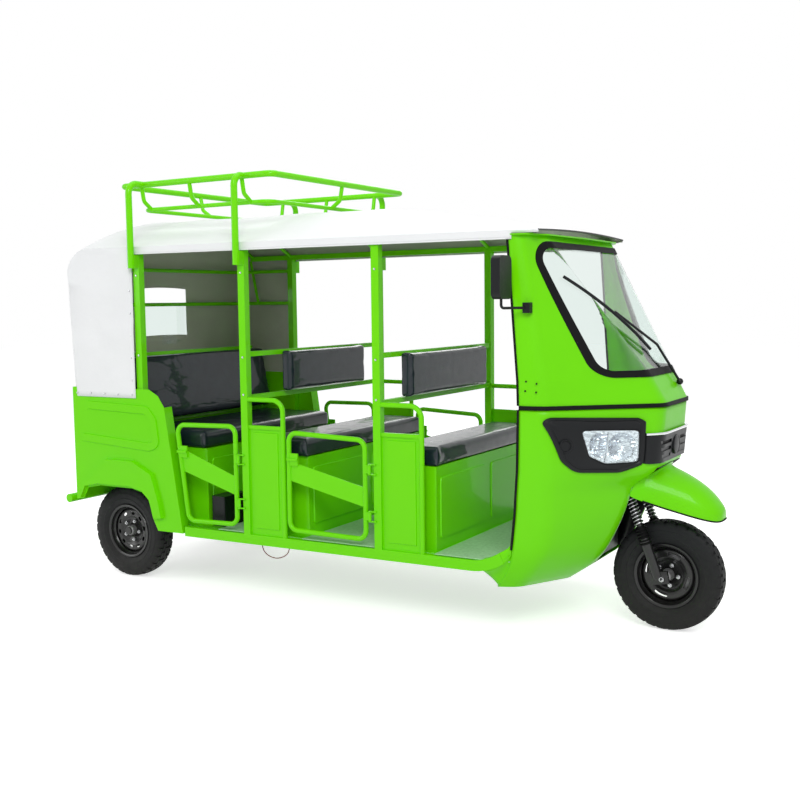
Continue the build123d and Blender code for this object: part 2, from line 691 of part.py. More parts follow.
with BuildPart() as headlamp_bezels:
    add(on_shell(bezel_outline, cab_low_rows, bezel_out, 10))
    with BuildSketch(Plane.YZ.offset(1000)) as hole:
        Polygon(*lens_outline, align=None)
        fillet(hole.vertices(), radius=12)
    extrude(amount=600, mode=Mode.SUBTRACT)
    mirror(about=Plane.XZ)
with BuildPart() as headlamp_lenses:
    add(on_shell(lens_outline, cab_low_rows, lens_out, 12))
    mirror(about=Plane.XZ)
with BuildPart() as grille:
    add(on_shell(grille_outline, cab_low_rows, grille_out, 10))
    for z, high in grille_bars:
        for y in (-140, 140):
            with Locations((1560, y, z)):
                Box(120, 150, high, mode=Mode.SUBTRACT)

with BuildPart() as dashboard:
    with Locations(((1230 + 1600) / 2, 0, 1010)):
        Box(370, 1200, 56)
    add(inner_low, mode=Mode.INTERSECT)

# ================================================================ front mudguard
# Sections: x, half width, height of the lower edge, height of the crown.
guard_rows = [(1335, 188, 651, 788), (1489, 154, 602, 770), (1605, 130, 571, 716),
              (1688, 100, 549, 653), (1733, 60, 538, 595)]
guard_wall = 4
with BuildPart() as front_mudguard:
    for inset, mode in ((0, Mode.ADD), (guard_wall, Mode.SUBTRACT)):
        with BuildPart(mode=mode):
            for i, (x, half, z_low, z_top) in enumerate(guard_rows[:-1] if inset else guard_rows):
                x_cut = x - (1 if inset and i == 0 else 0)
                with BuildSketch(Plane.YZ.offset(x_cut)):
                    with BuildLine():
                        low = z_low - (5 if inset else 0)
                        ThreePointArc((-half + inset, low), (0, z_top - inset), (half - inset, low))
                        Line((half - inset, low), (-half + inset, low))
                    make_face()
            loft(ruled=True)
    add(outer_low, mode=Mode.SUBTRACT)

# ================================================================ wheels
# Wheel sizes: tyre radius, half width of tread, rim flange radius, half width
# between flanges, radius of the well of the rim, hub radius, bore radius.
front_wheel = dict(r=260, half=56, flange=152, rim_half=44, well=130, hub=36, bore=10)
rear_wheel = dict(r=262, half=58, flange=152, rim_half=44, well=130, hub=44, bore=23)
rim_sheet = 4


def tyre(r, half, flange, rim_half, well, **_):
    """Section turned round the wheel's own Y axis."""
    bead = rim_half - 4.6
    with BuildPart(mode=Mode.PRIVATE) as made:
        with BuildSketch(Plane.YZ):
            with BuildLine():
                Polyline((-bead, flange - 13.7), (-bead, flange + 1), (-half + 4, flange + 30), (-half, r - 38),
                         (-half + 14, r - 8), (-half * 0.55, r), (half * 0.55, r), (half - 14, r - 8),
                         (half, r - 38), (half - 4, flange + 30), (bead, flange + 1), (bead, flange - 13.7),
                         (bead - 9, flange - 15), (half - 16, flange + 30), (half - 16, r - 30),
                         (-half + 16, r - 30), (-half + 16, flange + 30), (-bead + 9, flange - 15),
                         close=True)
            make_face()
        revolve(axis=Axis.Y)
    return made.part


def rim(flange, rim_half, well, hub, bore, disc_y, hub_y0, hub_y1, slots, studs, stud_ring, **_):
    """Barrel, disc with slots and hub, round the wheel's own Y axis."""
    with BuildPart(mode=Mode.PRIVATE) as made:
        with BuildSketch(Plane.YZ):
            with BuildLine():
                Polyline((-rim_half, flange), (-rim_half + 3, flange), (-rim_half + 4, flange - 14),
                         (-rim_half + 18, flange - 16), (-rim_half + 26, well), (rim_half - 26, well),
                         (rim_half - 18, flange - 16), (rim_half - 4, flange - 14), (rim_half - 3, flange),
                         (rim_half, flange), (rim_half, flange - 18), (rim_half - 16, flange - 21),
                         (rim_half - 24, well - 5), (-rim_half + 24, well - 5),
                         (-rim_half + 16, flange - 21), (-rim_half, flange - 18), close=True)
            make_face()
            with Locations(((disc_y), (well - 4 + hub - 6) / 2)):
                Rectangle(5, well - 4 - (hub - 6))
            with Locations(((hub_y0 + hub_y1) / 2, (hub + bore) / 2)):
                Rectangle(hub_y1 - hub_y0, hub - bore)
        revolve(axis=Axis.Y)
        with Locations(Plane(origin=(0, disc_y, 0), z_dir=(0, -1, 0))):
            with PolarLocations(well * 0.76, slots):
                Box(14, 34, 30, mode=Mode.SUBTRACT)
            with PolarLocations(stud_ring, studs):
                Cylinder(8, 30)
    return made.part


front_disc = dict(disc_y=-4, hub_y0=-62, hub_y1=62, slots=8, studs=4, stud_ring=50)
rear_disc = dict(disc_y=-20, hub_y0=-34, hub_y1=-8, slots=10, studs=4, stud_ring=58)
y_rear_wheel = 508          # middle of each rear tyre

tyre_front, rim_front = tyre(**front_wheel), rim(**front_wheel, **front_disc)
tyre_rear, rim_rear = tyre(**rear_wheel), rim(**rear_wheel, **rear_disc)
with BuildPart() as front_tyre:
    add(Pos(x_front_axle, 0, front_wheel["r"]) * tyre_front)
with BuildPart() as front_rim:
    add(Pos(x_front_axle, 0, front_wheel["r"]) * rim_front)
with BuildPart() as rear_tyre_right:
    add(Pos(x_rear_axle, -y_rear_wheel, rear_wheel["r"]) * tyre_rear)
with BuildPart() as rear_rim_right:
    add(Pos(x_rear_axle, -y_rear_wheel, rear_wheel["r"]) * rim_rear)
with BuildPart() as rear_tyre_left:
    mirror(rear_tyre_right.part, about=Plane.XZ)
with BuildPart() as rear_rim_left:
    mirror(rear_rim_right.part, about=Plane.XZ)

# ================================================================ fork
leg_y, leg_r, leg_low_r = 98, 17, 25
coils, coil_pitch, coil_d = 8, 16.5, 7.5
fork_bridge = 95           # along the axis, above the reference point
column_top = 560
axle_place = (x_front_axle, front_wheel["r"])
with BuildPart() as fork:
    # column, bridge and legs in the axis frame
    with Locations(steer_axis.location * Pos(0, 0, (fork_bridge + column_top) / 2)):
        Cylinder(column_r, column_top - fork_bridge)
    with Locations(steer_axis.location * Pos(0, 0, fork_bridge)):
        Box(56, 2 * leg_y + 48, 22)
    with Locations(steer_axis.location * Pos(0, -leg_y, -10), steer_axis.location * Pos(0, leg_y, -10)):
        Cylinder(leg_r, 2 * (fork_bridge + 10))
    with Locations(steer_axis.location * Pos(0, -leg_y, -190), steer_axis.location * Pos(0, leg_y, -190)):
        Cylinder(leg_low_r, 250)
    # coils of the two springs
    for i in range(coils):
        with Locations(*[steer_axis.location * Pos(0, y, -52 + coil_pitch * i) for y in (-leg_y, leg_y)]):
            Cylinder(leg_r + coil_d, coil_d)
    for y in (-leg_y, leg_y):
        with BuildSketch(Plane.XZ.offset(-y - 8)):
            with BuildLine():
                x1, z1 = axle_place[0] - 54, axle_place[1] - 23
                Polyline((x1 - 14, z1 + 44), (x1 - 8, z1 - 22), (x1 + 58, z1 - 4), (x1 + 76, z1 + 26),
                         (x1 + 58, z1 + 46), (x1 + 10, z1 + 50), close=True)
            make_face()
        extrude(amount=16)
    with Locations(Pos(axle_place[0], 0, axle_place[1]) * Rot(90, 0, 0)):
        Cylinder(front_wheel["bore"] - 0.3, 2 * leg_y + 44)

with BuildPart() as handlebar:
    with BuildLine() as bar:
        FilletPolyline((1030, -340, 1062), (1120, -215, 1085), (1150, -60, 1092), (1150, 60, 1092),
                       (1120, 215, 1085), (1030, 340, 1062), radius=60)
    with BuildSketch(across(bar)):
        Circle(12)
    sweep()
    # clamp between the column's top and the bar
    with Locations(steer_axis.location * Pos(-2, 0, column_top + 8)):
        Box(44, 84, 16)

# ================================================================ canopy
# Sections: x, inset from the side, lower edge, crown.
canopy_out = -12.5
x_canopy_rear = x_rear_face - 4.5
x_curtain = -1216
z_valance, z_curtain = 1812, 1044
canopy_rows = [
    (x_canopy_rear, canopy_out, z_valance, z_crown),
    (0, canopy_out, z_valance, z_crown),
    (430, canopy_out, z_valance, crown_at(430)),
    (920, canopy_out, z_valance, crown_at(920)),
    (932, canopy_out, z_peak + peak_thick, crown_at(932)),
    (1060, 30, z_peak + peak_thick, crown_at(1060)),
]
rear_round = 150
window_half, window_z0, window_z1 = 207, 1300, 1536


def canopy_solid(inset):
    with BuildPart(mode=Mode.PRIVATE) as shape:
        for i, (x, out, z_low, z_top) in enumerate(canopy_rows):
            x_cut = x + (inset if i == 0 else -inset if i == len(canopy_rows) - 1 else 0)
            w = half_at(x, out) - inset
            low = z_low - (3 if inset and i < 4 else 0)
            arch_foot = 1852 if i < 5 else z_low + 4
            with BuildSketch(Plane.YZ.offset(x_cut)):
                with BuildLine():
                    Line((-w, low), (-w, arch_foot))
                    ThreePointArc((-w, arch_foot), (0, z_top - inset), (w, arch_foot))
                    Line((w, arch_foot), (w, low))
                    Line((w, low), (-w, low))
                make_face()
        loft(ruled=True)
        with BuildSketch(Plane.XY.offset(z_curtain - (3 if inset else 0))):
            Polygon(*[(x, turn * (half_at(x, canopy_out) - inset))
                      for x, turn in ((x_canopy_rear + inset, -1), (x_curtain + (3 if inset else 0), -1),
                                      (x_curtain + (3 if inset else 0), 1), (x_canopy_rear + inset, 1))],
                    align=None)
        extrude(until=None, amount=z_valance + 10 - (z_curtain - (3 if inset else 0)))
        rear_arc = shape.edges().filter_by(GeomType.CIRCLE).sort_by(Axis.X)[0]
        fillet(rear_arc, radius=rear_round - inset)
    return shape.part


with BuildPart() as canopy:
    add(canopy_solid(0))
    add(canopy_solid(canopy_wall), mode=Mode.SUBTRACT)
    with Locations((x_canopy_rear, 0, (window_z0 + window_z1) / 2)):
        Box(40, 2 * window_half, window_z1 - window_z0, mode=Mode.SUBTRACT)
with BuildPart() as rear_window:
    with Locations((x_canopy_rear + 2, 0, (window_z0 + window_z1) / 2)):
        Box(2, 2 * window_half, window_z1 - window_z0)

# ================================================================ roof rack
rack_x0, rack_x1, rack_half = -1351, -329, 620
hoop_out = 34               # hoop centre outside the side plane
z_hoop_foot, z_hoop_bracket = 1738, 1808
basket_x0, basket_x1, basket_half, z_basket = -1275, -405, 545, 2058
rib_x = [-1210, -870, -520]
rack_r = rack_tube_d / 2
with BuildPart() as rack_brackets:
    for x in (x_post1, x_post2):
        with BuildSketch(upright(along(x), hoop_out / 2, z_hoop_foot)):
            Rectangle(36, hoop_out)
        extrude(amount=z_hoop_bracket - z_hoop_foot)
    mirror(about=Plane.XZ)
with BuildPart() as roof_rack:
    add(rack_brackets.part)
    with BuildLine() as ring:
        FilletPolyline((rack_x1, -rack_half, z_rack), (rack_x1, rack_half, z_rack),
                       (rack_x0, rack_half, z_rack), (rack_x0, -rack_half, z_rack),
                       radius=35, close=True)
    with BuildSketch(across(ring)):
        Circle(rack_r)
    sweep()
    with BuildLine() as ring2:
        FilletPolyline((basket_x1, -basket_half, z_basket), (basket_x1, basket_half, z_basket),
                       (basket_x0, basket_half, z_basket), (basket_x0, -basket_half, z_basket),
                       radius=60, close=True)
    with BuildSketch(across(ring2)):
        Circle(rib_tube_d / 2)
    sweep()
    for turn in (-1, 1):
        for x in (x_post1, x_post2):
            y = turn * (half_at(x) + hoop_out)
            with BuildLine() as hoop:
                FilletPolyline((x, y, z_hoop_foot), (x, y, z_rack), (x, turn * rack_half, z_rack),
                               radius=55)
            with BuildSketch(across(hoop)):
                Circle(rack_r + 1)
            sweep()
        for x in rib_x:
            with BuildLine() as rib:
                FilletPolyline((x, turn * (rack_half - 2), z_rack), (x, turn * (rack_half - 18), z_basket + 40),
                               (x, turn * basket_half, z_basket), radius=30)
            with BuildSketch(across(rib)):
                Circle(rib_tube_d / 2)
            sweep()
    for x_top, x_low in ((rack_x1, basket_x1), (rack_x0, basket_x0)):
        turn = 1 if x_top > x_low else -1
        with BuildLine() as rib:
            FilletPolyline((x_top - 2 * turn, 0, z_rack), (x_top - 18 * turn, 0, z_basket + 40),
                           (x_low, 0, z_basket), radius=30)
        with BuildSketch(across(rib)):
            Circle(rib_tube_d / 2)
        sweep()

# ================================================================ mirrors, wiper
with BuildPart() as mirrors:
    with Locations((952, -692, 1645)):
        Box(42, 118, 186)
    fillet(mirrors.edges().filter_by(Axis.X), radius=28)
    with BuildLine() as arm:
        FilletPolyline((950, -690, 1560), (950, -690, 1514), (1022, -578, 1514), radius=14)
    with BuildSketch(across(arm)):
        Circle(6)
    sweep()
    # foot on the cab's side
    with Locations((1022, -578, 1514)):
        Box(34, 30, 46)
    add(outer_high, mode=Mode.SUBTRACT)
    mirror(about=Plane.XZ)

with BuildPart() as wiper:
    with BuildLine() as blade:
        ThreePointArc((1126, -424, 1648), (1290, -232, 1484), (1396, -40, 1316))
    with BuildSketch(across(blade)):
        Circle(7)
    sweep()
    with BuildLine() as arm:
        Polyline((1294, -230, 1490), (1396, 60, 1334), (1489, 120, 1158))
    with BuildSketch(across(arm)):
        Circle(6)
    sweep(transition=Transition.ROUND)
    with Locations((1489, 120, 1158)):
        Sphere(15.8)

# wire that hangs below the right sill, both ends fixed to it
wire_r = 2.5
wire_points = [(-436, -628, z_sill_bottom), (-434, -627, 294), (-420, -625, 272), (-392, -623, 256),
               (-356, -621, 250), (-322, -620, 257), (-292, -619, 272), (-273, -618, 293),
               (-269, -618, z_sill_bottom)]


def cord_radii(points):
    """Largest tangent arc at each inner corner that its two runs allow."""
    radii = []
    spots = [Vector(*point) for point in points]
    for before, here, after in zip(spots, spots[1:], spots[2:]):
        turn = (here - before).get_angle(after - here)
        shorter = min((here - before).length, (after - here).length)
        radii.append(0.45 * shorter / tan(radians(turn) / 2))
    return radii


wire_radii = cord_radii(wire_points)
print("wire radii", [round(r) for r in wire_radii])
with BuildPart() as wire_loop:
    with BuildLine() as wire:
        FilletPolyline(*wire_points, radius=wire_radii)
    with BuildSketch(across(wire)):
        Circle(wire_r)
    sweep()
print("wire length", round(sum(edge.length for edge in wire.edges())))

# welded or bonded together, so one piece each
with BuildPart() as floor:
    add(floor_pan.part)
    add(cab_floor.part)
with BuildPart() as rear_shell:
    add(rear_tub.part)
    add(wheel_houses.part)
with BuildPart() as rubber_trims:
    add(edge_trims.part)
    add(waist_strip.part)
with BuildPart() as cab_top:
    add(cab_upper.part)
    add(cab_peak.part)
with BuildPart() as axle_group:
    add(rear_axle.part)
    add(drive_shaft.part)
with BuildPart() as seat_boxes:
    add(seat_box_rear.part)
    add(seat_box_middle.part)
    add(seat_box_driver.part)
    add(bench_support.part)
with BuildPart() as fork_group:
    add(fork.part)

parts = {
    "chassis_rails": chassis_rails, "chassis_members": chassis_members, "side_sills": side_sills, "floor_pan": floor,
    "floor_mats": floor_mats, "rear_axle": axle_group, "leaf_springs": leaf_springs,
    "engine_block": engine_block, "rear_tub": rear_shell, "tailboard": tailboard,
    "tail_lamps": tail_lamps, "rear_bumper": rear_bumper,
    "posts": post_set, "roof_frame": roof_frame, "rear_rails": rear_rails,
    "backrest_rails": backrest_rails, "side_panels": side_panels,
    "gate_front_right": gate_front_right, "gate_rear_right": gate_rear_right,
    "gate_front_left": gate_front_left, "gate_rear_left": gate_rear_left,
    "hinge_pins": hinge_pins, "seat_boxes": seat_boxes, "cushion_rear": cushion_rear,
    "cushion_middle": cushion_middle, "cushion_driver": cushion_driver,
    "backrest_rear": backrest_rear, "backrest_middle": backrest_middle,
    "backrest_driver": backrest_driver, "battery_box": battery_box, "cab_lower": cab_lower,
    "cab_upper": cab_top, "windscreen": windscreen, "windscreen_gasket": windscreen_gasket,
    "edge_trims": rubber_trims, "headlamp_bezels": headlamp_bezels,
    "headlamp_lenses": headlamp_lenses, "grille": grille, "dashboard": dashboard,
    "front_mudguard": front_mudguard, "front_tyre": front_tyre, "front_rim": front_rim,
    "rear_tyre_right": rear_tyre_right, "rear_rim_right": rear_rim_right,
    "rear_tyre_left": rear_tyre_left, "rear_rim_left": rear_rim_left, "fork": fork_group,
    "handlebar": handlebar, "canopy": canopy, "rear_window": rear_window,
    "roof_rack": roof_rack, "mirrors": mirrors, "wiper": wiper, "wire_loop": wire_loop,
}
for name, made in parts.items():
    made.part.label = name
    export_step(made.part, f"parts/{name}.step")
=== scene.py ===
# %% [markdown]
# # Auto rickshaw with three benches
# The CAD model gives every steel, rubber and glass piece its size and place.
# This script dresses it: it adds paint, cloth and vinyl, and models what a
# CAD solid leaves plain, such as the canopy, the seats and the tyre treads.
# All lengths are metres, X runs forward, Y to the left and Z up.

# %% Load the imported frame
from math import atan, atan2, cos, degrees, pi, radians, sin, sqrt, tan

import bmesh
import bpy
from mathutils import Matrix, Vector, noise


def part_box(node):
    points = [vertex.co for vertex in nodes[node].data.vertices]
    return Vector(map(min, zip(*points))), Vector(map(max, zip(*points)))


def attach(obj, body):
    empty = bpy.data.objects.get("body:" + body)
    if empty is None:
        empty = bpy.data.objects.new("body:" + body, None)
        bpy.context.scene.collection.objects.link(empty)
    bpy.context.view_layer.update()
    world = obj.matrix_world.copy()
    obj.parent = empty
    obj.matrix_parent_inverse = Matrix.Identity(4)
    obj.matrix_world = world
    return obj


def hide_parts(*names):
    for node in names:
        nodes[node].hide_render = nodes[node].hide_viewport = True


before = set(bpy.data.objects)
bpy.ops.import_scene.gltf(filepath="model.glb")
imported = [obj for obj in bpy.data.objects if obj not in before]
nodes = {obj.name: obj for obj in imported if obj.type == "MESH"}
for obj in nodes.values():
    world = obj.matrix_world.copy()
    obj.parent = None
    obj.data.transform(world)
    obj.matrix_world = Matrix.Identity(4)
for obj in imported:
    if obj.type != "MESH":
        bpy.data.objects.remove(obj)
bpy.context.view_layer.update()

# %% [markdown]
# ## The camera
# The view is level with an onlooker's eyes, from the front right corner. The
# camera could be aimed with a constraint, but three plain angles say the same
# and move easily: turn about the vertical, tilt down and a slight roll.

# %% Camera
camera_place = Vector((2.891, -4.727, 1.548))
camera_turn, camera_tilt, camera_roll = radians(31.28), radians(-5.43), radians(-0.66)
camera_data = bpy.data.cameras.new("camera")
camera_data.lens = 46.7
camera_data.sensor_width = 36
camera = bpy.data.objects.new("camera", camera_data)
bpy.context.scene.collection.objects.link(camera)
aim = (Matrix.Rotation(camera_turn, 4, "Z") @ Matrix.Rotation(pi / 2 + camera_tilt, 4, "X")
       @ Matrix.Rotation(camera_roll, 4, "Z"))
camera.matrix_world = Matrix.Translation(camera_place) @ aim
bpy.context.scene.camera = camera
bpy.context.scene.view_settings.view_transform = "Standard"
print("camera at", tuple(round(v, 3) for v in camera_place))

# %% [markdown]
# ## The wire under the sill
# A thin insulated wire hangs in a low loop under the right sill, and both of
# its ends go back into the sill. A cord is a curve: its control points lie
# where the wire runs, and an order of three rounds every corner softly.

# %% Wire loop
WIRE_RUN = [(-0.436, -0.628, 0.316), (-0.434, -0.627, 0.294), (-0.420, -0.625, 0.272),
            (-0.392, -0.623, 0.256), (-0.356, -0.621, 0.250), (-0.322, -0.620, 0.257),
            (-0.292, -0.619, 0.272), (-0.273, -0.618, 0.293), (-0.269, -0.618, 0.316)]


def lay_line(name, points, radius, body="body", closed=False, smooth=True, sides=3):
    """A round bar, wire or piping along a few control points.

    The radius sits on the points and the bevel depth is one metre, because a
    curve's box grows by the radius of its points.
    """
    curve = bpy.data.curves.new(name, "CURVE")
    curve.dimensions = "3D"
    spline = curve.splines.new("NURBS" if smooth else "POLY")
    spline.points.add(len(points) - 1)
    for point, place in zip(spline.points, points):
        point.co = (*place, 1.0)
        point.radius = radius
    spline.use_cyclic_u = closed
    if smooth:
        spline.order_u = 3
        spline.use_endpoint_u = not closed
    curve.bevel_depth = 1.0
    curve.bevel_resolution = sides
    curve.resolution_u = 8
    curve.use_fill_caps = True
    line = bpy.data.objects.new(name, curve)
    bpy.context.scene.collection.objects.link(line)
    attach(line, body)
    return line


wire = lay_line("sill_wire", WIRE_RUN, 0.0025)
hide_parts("wire_loop")
print("wire control points:", len(WIRE_RUN))

# %% [markdown]
# ## Shared measures
# The body narrows towards the front: both sides are flat and lean in by the
# same small angle. One function gives the half width at any station, so new
# pieces meet the CAD pieces without any fitting.

# %% Stations and widths
X_POST1, X_POST2, X_POST3 = -1.195, -0.510, 0.260
HALF_POST2, TAPER = 0.656, 0.056
SIDE_TURN = atan(TAPER)


def half_at(x, inset=0.0):
    """Half of the body's width at a station."""
    return HALF_POST2 - TAPER * (x - X_POST2) - inset / cos(SIDE_TURN)


def side_frame(x, z, out=0.0, turn=-1):
    """Place on a body side: local x forward, y up, z out of the body."""
    forward = Vector((cos(SIDE_TURN), -turn * sin(SIDE_TURN), 0))
    outward = Vector((sin(SIDE_TURN), turn * cos(SIDE_TURN), 0))
    spot = Vector((x, turn * half_at(x), z)) + outward * out
    up = Vector((0, 0, 1))
    if turn > 0:
        forward = -forward
    frame_3d = Matrix((forward, up, outward)).transposed().to_4x4()
    return Matrix.Translation(spot) @ frame_3d


print("half width at the posts:", [round(half_at(x), 3) for x in (X_POST1, X_POST2, X_POST3)])

# %% [markdown]
# ## Making pieces
# Every new piece is shaped in a bmesh and then becomes an object at the
# origin. Shading is smooth, with sharp edges kept where faces turn by more
# than a set angle, which suits pressed and bent sheet.

# %% Piece helper
def srgb(red, green, blue):
    """Colour as a screen shows it, turned into the linear values of a shader."""
    line = [v / 255 for v in (red, green, blue)]
    return tuple(v / 12.92 if v <= 0.04045 else ((v + 0.055) / 1.055) ** 2.4 for v in line) + (1.0,)


def make_piece(name, work, material, body="body", sharp=35, extra=()):
    mesh = bpy.data.meshes.new(name)
    work.to_mesh(mesh)
    work.free()
    mesh.shade_smooth()
    mesh.set_sharp_from_angle(angle=radians(sharp))
    piece = bpy.data.objects.new(name, mesh)
    bpy.context.scene.collection.objects.link(piece)
    for slot_material in (material, *extra):
        mesh.materials.append(slot_material)
    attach(piece, body)
    return piece


def add_modifier(piece, kind, **settings):
    modifier = piece.modifiers.new(kind.lower(), kind)
    for key, value in settings.items():
        setattr(modifier, key, value)
    return modifier


# %% [markdown]
# ## Three ways to start a shape
# Most pieces here are turned, bent over sections or cut from a block. A turned
# piece is a short profile that is spun. A bent one is a few open or closed
# outlines bridged to each other. Every helper adds to a bmesh that is open.

# %% Shape helpers
def add_chain(work, points, closed=False):
    verts = [work.verts.new(point) for point in points]
    pairs = list(zip(verts, verts[1:])) + ([(verts[-1], verts[0])] if closed else [])
    return [work.edges.new(pair) for pair in pairs]


def bridge_sections(work, sections, closed=False):
    chains = [add_chain(work, points, closed) for points in sections]
    for first, second in zip(chains, chains[1:]):
        bmesh.ops.bridge_loops(work, edges=first + second)
    return chains


def spin_profile(work, points, steps, closed=False, axis=(0, 1, 0), angle=2 * pi):
    """Turn a profile of (along, radius) pairs about the Y or the Z axis."""
    if axis[1]:
        places = [(0, along, radius) for along, radius in points]
    else:
        places = [(radius, 0, along) for along, radius in points]
    edges = add_chain(work, places, closed)
    verts = list({vert for edge in edges for vert in edge.verts})
    before = set(work.faces)
    bmesh.ops.spin(work, geom=verts + edges, cent=(0, 0, 0), axis=axis, dvec=(0, 0, 0),
                   angle=angle, steps=steps, use_merge=True, use_duplicate=False)
    return [face for face in work.faces if face not in before]


def move_to(work, place, verts=None):
    bmesh.ops.transform(work, matrix=place, verts=verts or work.verts[:])


def close_up(work):
    bmesh.ops.remove_doubles(work, verts=work.verts[:], dist=1e-5)
    bmesh.ops.recalc_face_normals(work, faces=work.faces[:])


def soften(work, offset, angle=50, segments=2):
    """Bevel every edge that turns by more than an angle."""
    edges = [e for e in work.edges if len(e.link_faces) == 2
             and e.calc_face_angle(0) > radians(angle)]
    bmesh.ops.bevel(work, geom=edges, offset=offset, affect="EDGES", segments=segments,
                    profile=0.5, material=-1, clamp_overlap=True)


def add_bolt(work, place, normal, radius=0.006, high=0.004, sides=6):
    """A hexagon or round head that stands on a surface."""
    turn = Vector(normal).to_track_quat("Z", "Y").to_matrix().to_4x4()
    made = bmesh.ops.create_cone(work, cap_ends=True, segments=sides, radius1=radius,
                                 radius2=radius * 0.82, depth=high)
    move_to(work, Matrix.Translation(Vector(place) + Vector(normal).normalized() * high / 2) @ turn,
            made["verts"])


def slice_box(work, stations, axis):
    """Cut through the whole mesh at each station of an axis."""
    for value in stations:
        spot, normal = Vector((0, 0, 0)), Vector((0, 0, 0))
        spot[axis], normal[axis] = value, 1.0
        bmesh.ops.bisect_plane(work, geom=work.verts[:] + work.edges[:] + work.faces[:],
                               plane_co=spot, plane_no=normal, dist=1e-5)


def steps(start, stop, count):
    """Even values from start to stop, both of them included."""
    return [start + (stop - start) * i / count for i in range(count + 1)]


print("shape helpers ready")

# %% [markdown]
# ## Shader groups
# Paint, plastic, cloth and rubber all vary a little in colour and in how
# rough they are, and pieces near the road carry dust. Three node groups hold
# these effects, so every material can use them at its own scale.

# %% Shared shader groups
def new_group(name, inputs, outputs):
    group = bpy.data.node_groups.new(name, "ShaderNodeTree")
    for label, kind, value in inputs:
        socket = group.interface.new_socket(label, in_out="INPUT", socket_type=kind)
        if value is not None:
            socket.default_value = value
    for label, kind in outputs:
        group.interface.new_socket(label, in_out="OUTPUT", socket_type=kind)
    return group, group.nodes.new("NodeGroupInput"), group.nodes.new("NodeGroupOutput")


def math_node(tree, operation, first, second=None, clamp=False):
    node = tree.nodes.new("ShaderNodeMath")
    node.operation = operation
    node.use_clamp = clamp
    for i, value in enumerate((first, second)):
        if hasattr(value, "is_linked"):
            tree.links.new(value, node.inputs[i])
        elif value is not None:
            node.inputs[i].default_value = value
    return node.outputs[0]


def noise_node(tree, vector, scale, detail=4.0, rough=0.5):
    node = tree.nodes.new("ShaderNodeTexNoise")
    node.inputs["Detail"].default_value = detail
    node.inputs["Roughness"].default_value = rough
    tree.links.new(vector, node.inputs["Vector"])
    if hasattr(scale, "is_linked"):
        tree.links.new(scale, node.inputs["Scale"])
    else:
        node.inputs["Scale"].default_value = scale
    return node.outputs["Fac"]


def mix_colour(tree, factor, first, second, blend="MIX"):
    node = tree.nodes.new("ShaderNodeMix")
    node.data_type = "RGBA"
    node.blend_type = blend
    for socket, value in ((node.inputs["Factor"], factor), (node.inputs[6], first),
                          (node.inputs[7], second)):
        if hasattr(value, "is_linked"):
            tree.links.new(value, socket)
        else:
            socket.default_value = value
    return node.outputs[2]


def make_drift_group():
    """Slow change between a colour and a second one."""
    group, given, out = new_group(
        "colour_drift",
        [("Vector", "NodeSocketVector", None), ("Colour", "NodeSocketColor", (0.5, 0.5, 0.5, 1)),
         ("Second", "NodeSocketColor", (0.4, 0.4, 0.4, 1)), ("Scale", "NodeSocketFloat", 3.0),
         ("Amount", "NodeSocketFloat", 0.5)],
        [("Colour", "NodeSocketColor")])
    cloud = noise_node(group, given.outputs["Vector"], given.outputs["Scale"])
    share = math_node(group, "MULTIPLY", cloud, given.outputs["Amount"], clamp=True)
    mixed = mix_colour(group, share, given.outputs["Colour"], given.outputs["Second"])
    group.links.new(mixed, out.inputs["Colour"])
    return group


def make_grain_group():
    """Fine grain as a height, and a roughness between two limits."""
    group, given, out = new_group(
        "surface_grain",
        [("Vector", "NodeSocketVector", None), ("Scale", "NodeSocketFloat", 200.0),
         ("Low", "NodeSocketFloat", 0.3), ("High", "NodeSocketFloat", 0.5)],
        [("Roughness", "NodeSocketFloat"), ("Height", "NodeSocketFloat")])
    fine = noise_node(group, given.outputs["Vector"], given.outputs["Scale"], 3.0)
    broad_scale = math_node(group, "MULTIPLY", given.outputs["Scale"], 0.08)
    broad = noise_node(group, given.outputs["Vector"], broad_scale, 5.0)
    span = math_node(group, "SUBTRACT", given.outputs["High"], given.outputs["Low"])
    rise = math_node(group, "MULTIPLY", broad, span)
    rough = math_node(group, "ADD", rise, given.outputs["Low"], clamp=True)
    group.links.new(rough, out.inputs["Roughness"])
    group.links.new(fine, out.inputs["Height"])
    return group


def make_dust_group():
    """Mask that is strong near the ground and breaks up higher."""
    group, given, out = new_group(
        "road_dust",
        [("Vector", "NodeSocketVector", None), ("Top", "NodeSocketFloat", 0.5),
         ("Amount", "NodeSocketFloat", 0.3)],
        [("Mask", "NodeSocketFloat")])
    parts = group.nodes.new("ShaderNodeSeparateXYZ")
    group.links.new(given.outputs["Vector"], parts.inputs[0])
    share = math_node(group, "DIVIDE", parts.outputs["Z"], given.outputs["Top"], clamp=True)
    low = math_node(group, "SUBTRACT", 1.0, share, clamp=True)
    cloud = noise_node(group, given.outputs["Vector"], 18.0, 6.0, 0.65)
    patch = math_node(group, "MULTIPLY", low, cloud)
    mask = math_node(group, "MULTIPLY", patch, given.outputs["Amount"], clamp=True)
    group.links.new(mask, out.inputs["Mask"])
    return group


drift_group = make_drift_group()
grain_group = make_grain_group()
dust_group = make_dust_group()
print("groups:", [g.name for g in bpy.data.node_groups])

# %% [markdown]
# ## A plain finish
# Most finishes need the same parts: a colour that drifts, a roughness that
# varies and a fine bump. One function builds them, and the values that are
# the same all over the surface go straight onto the shader's own sockets.

# %% Finish helper
def new_material(name, **sockets):
    material = bpy.data.materials.new(name)
    material.use_nodes = True
    tree = material.node_tree
    shader = tree.nodes["Principled BSDF"]
    for label, value in sockets.items():
        shader.inputs[label.replace("_", " ")].default_value = value
    return material, tree, shader


def object_coords(tree):
    return tree.nodes.new("ShaderNodeTexCoord").outputs["Object"]


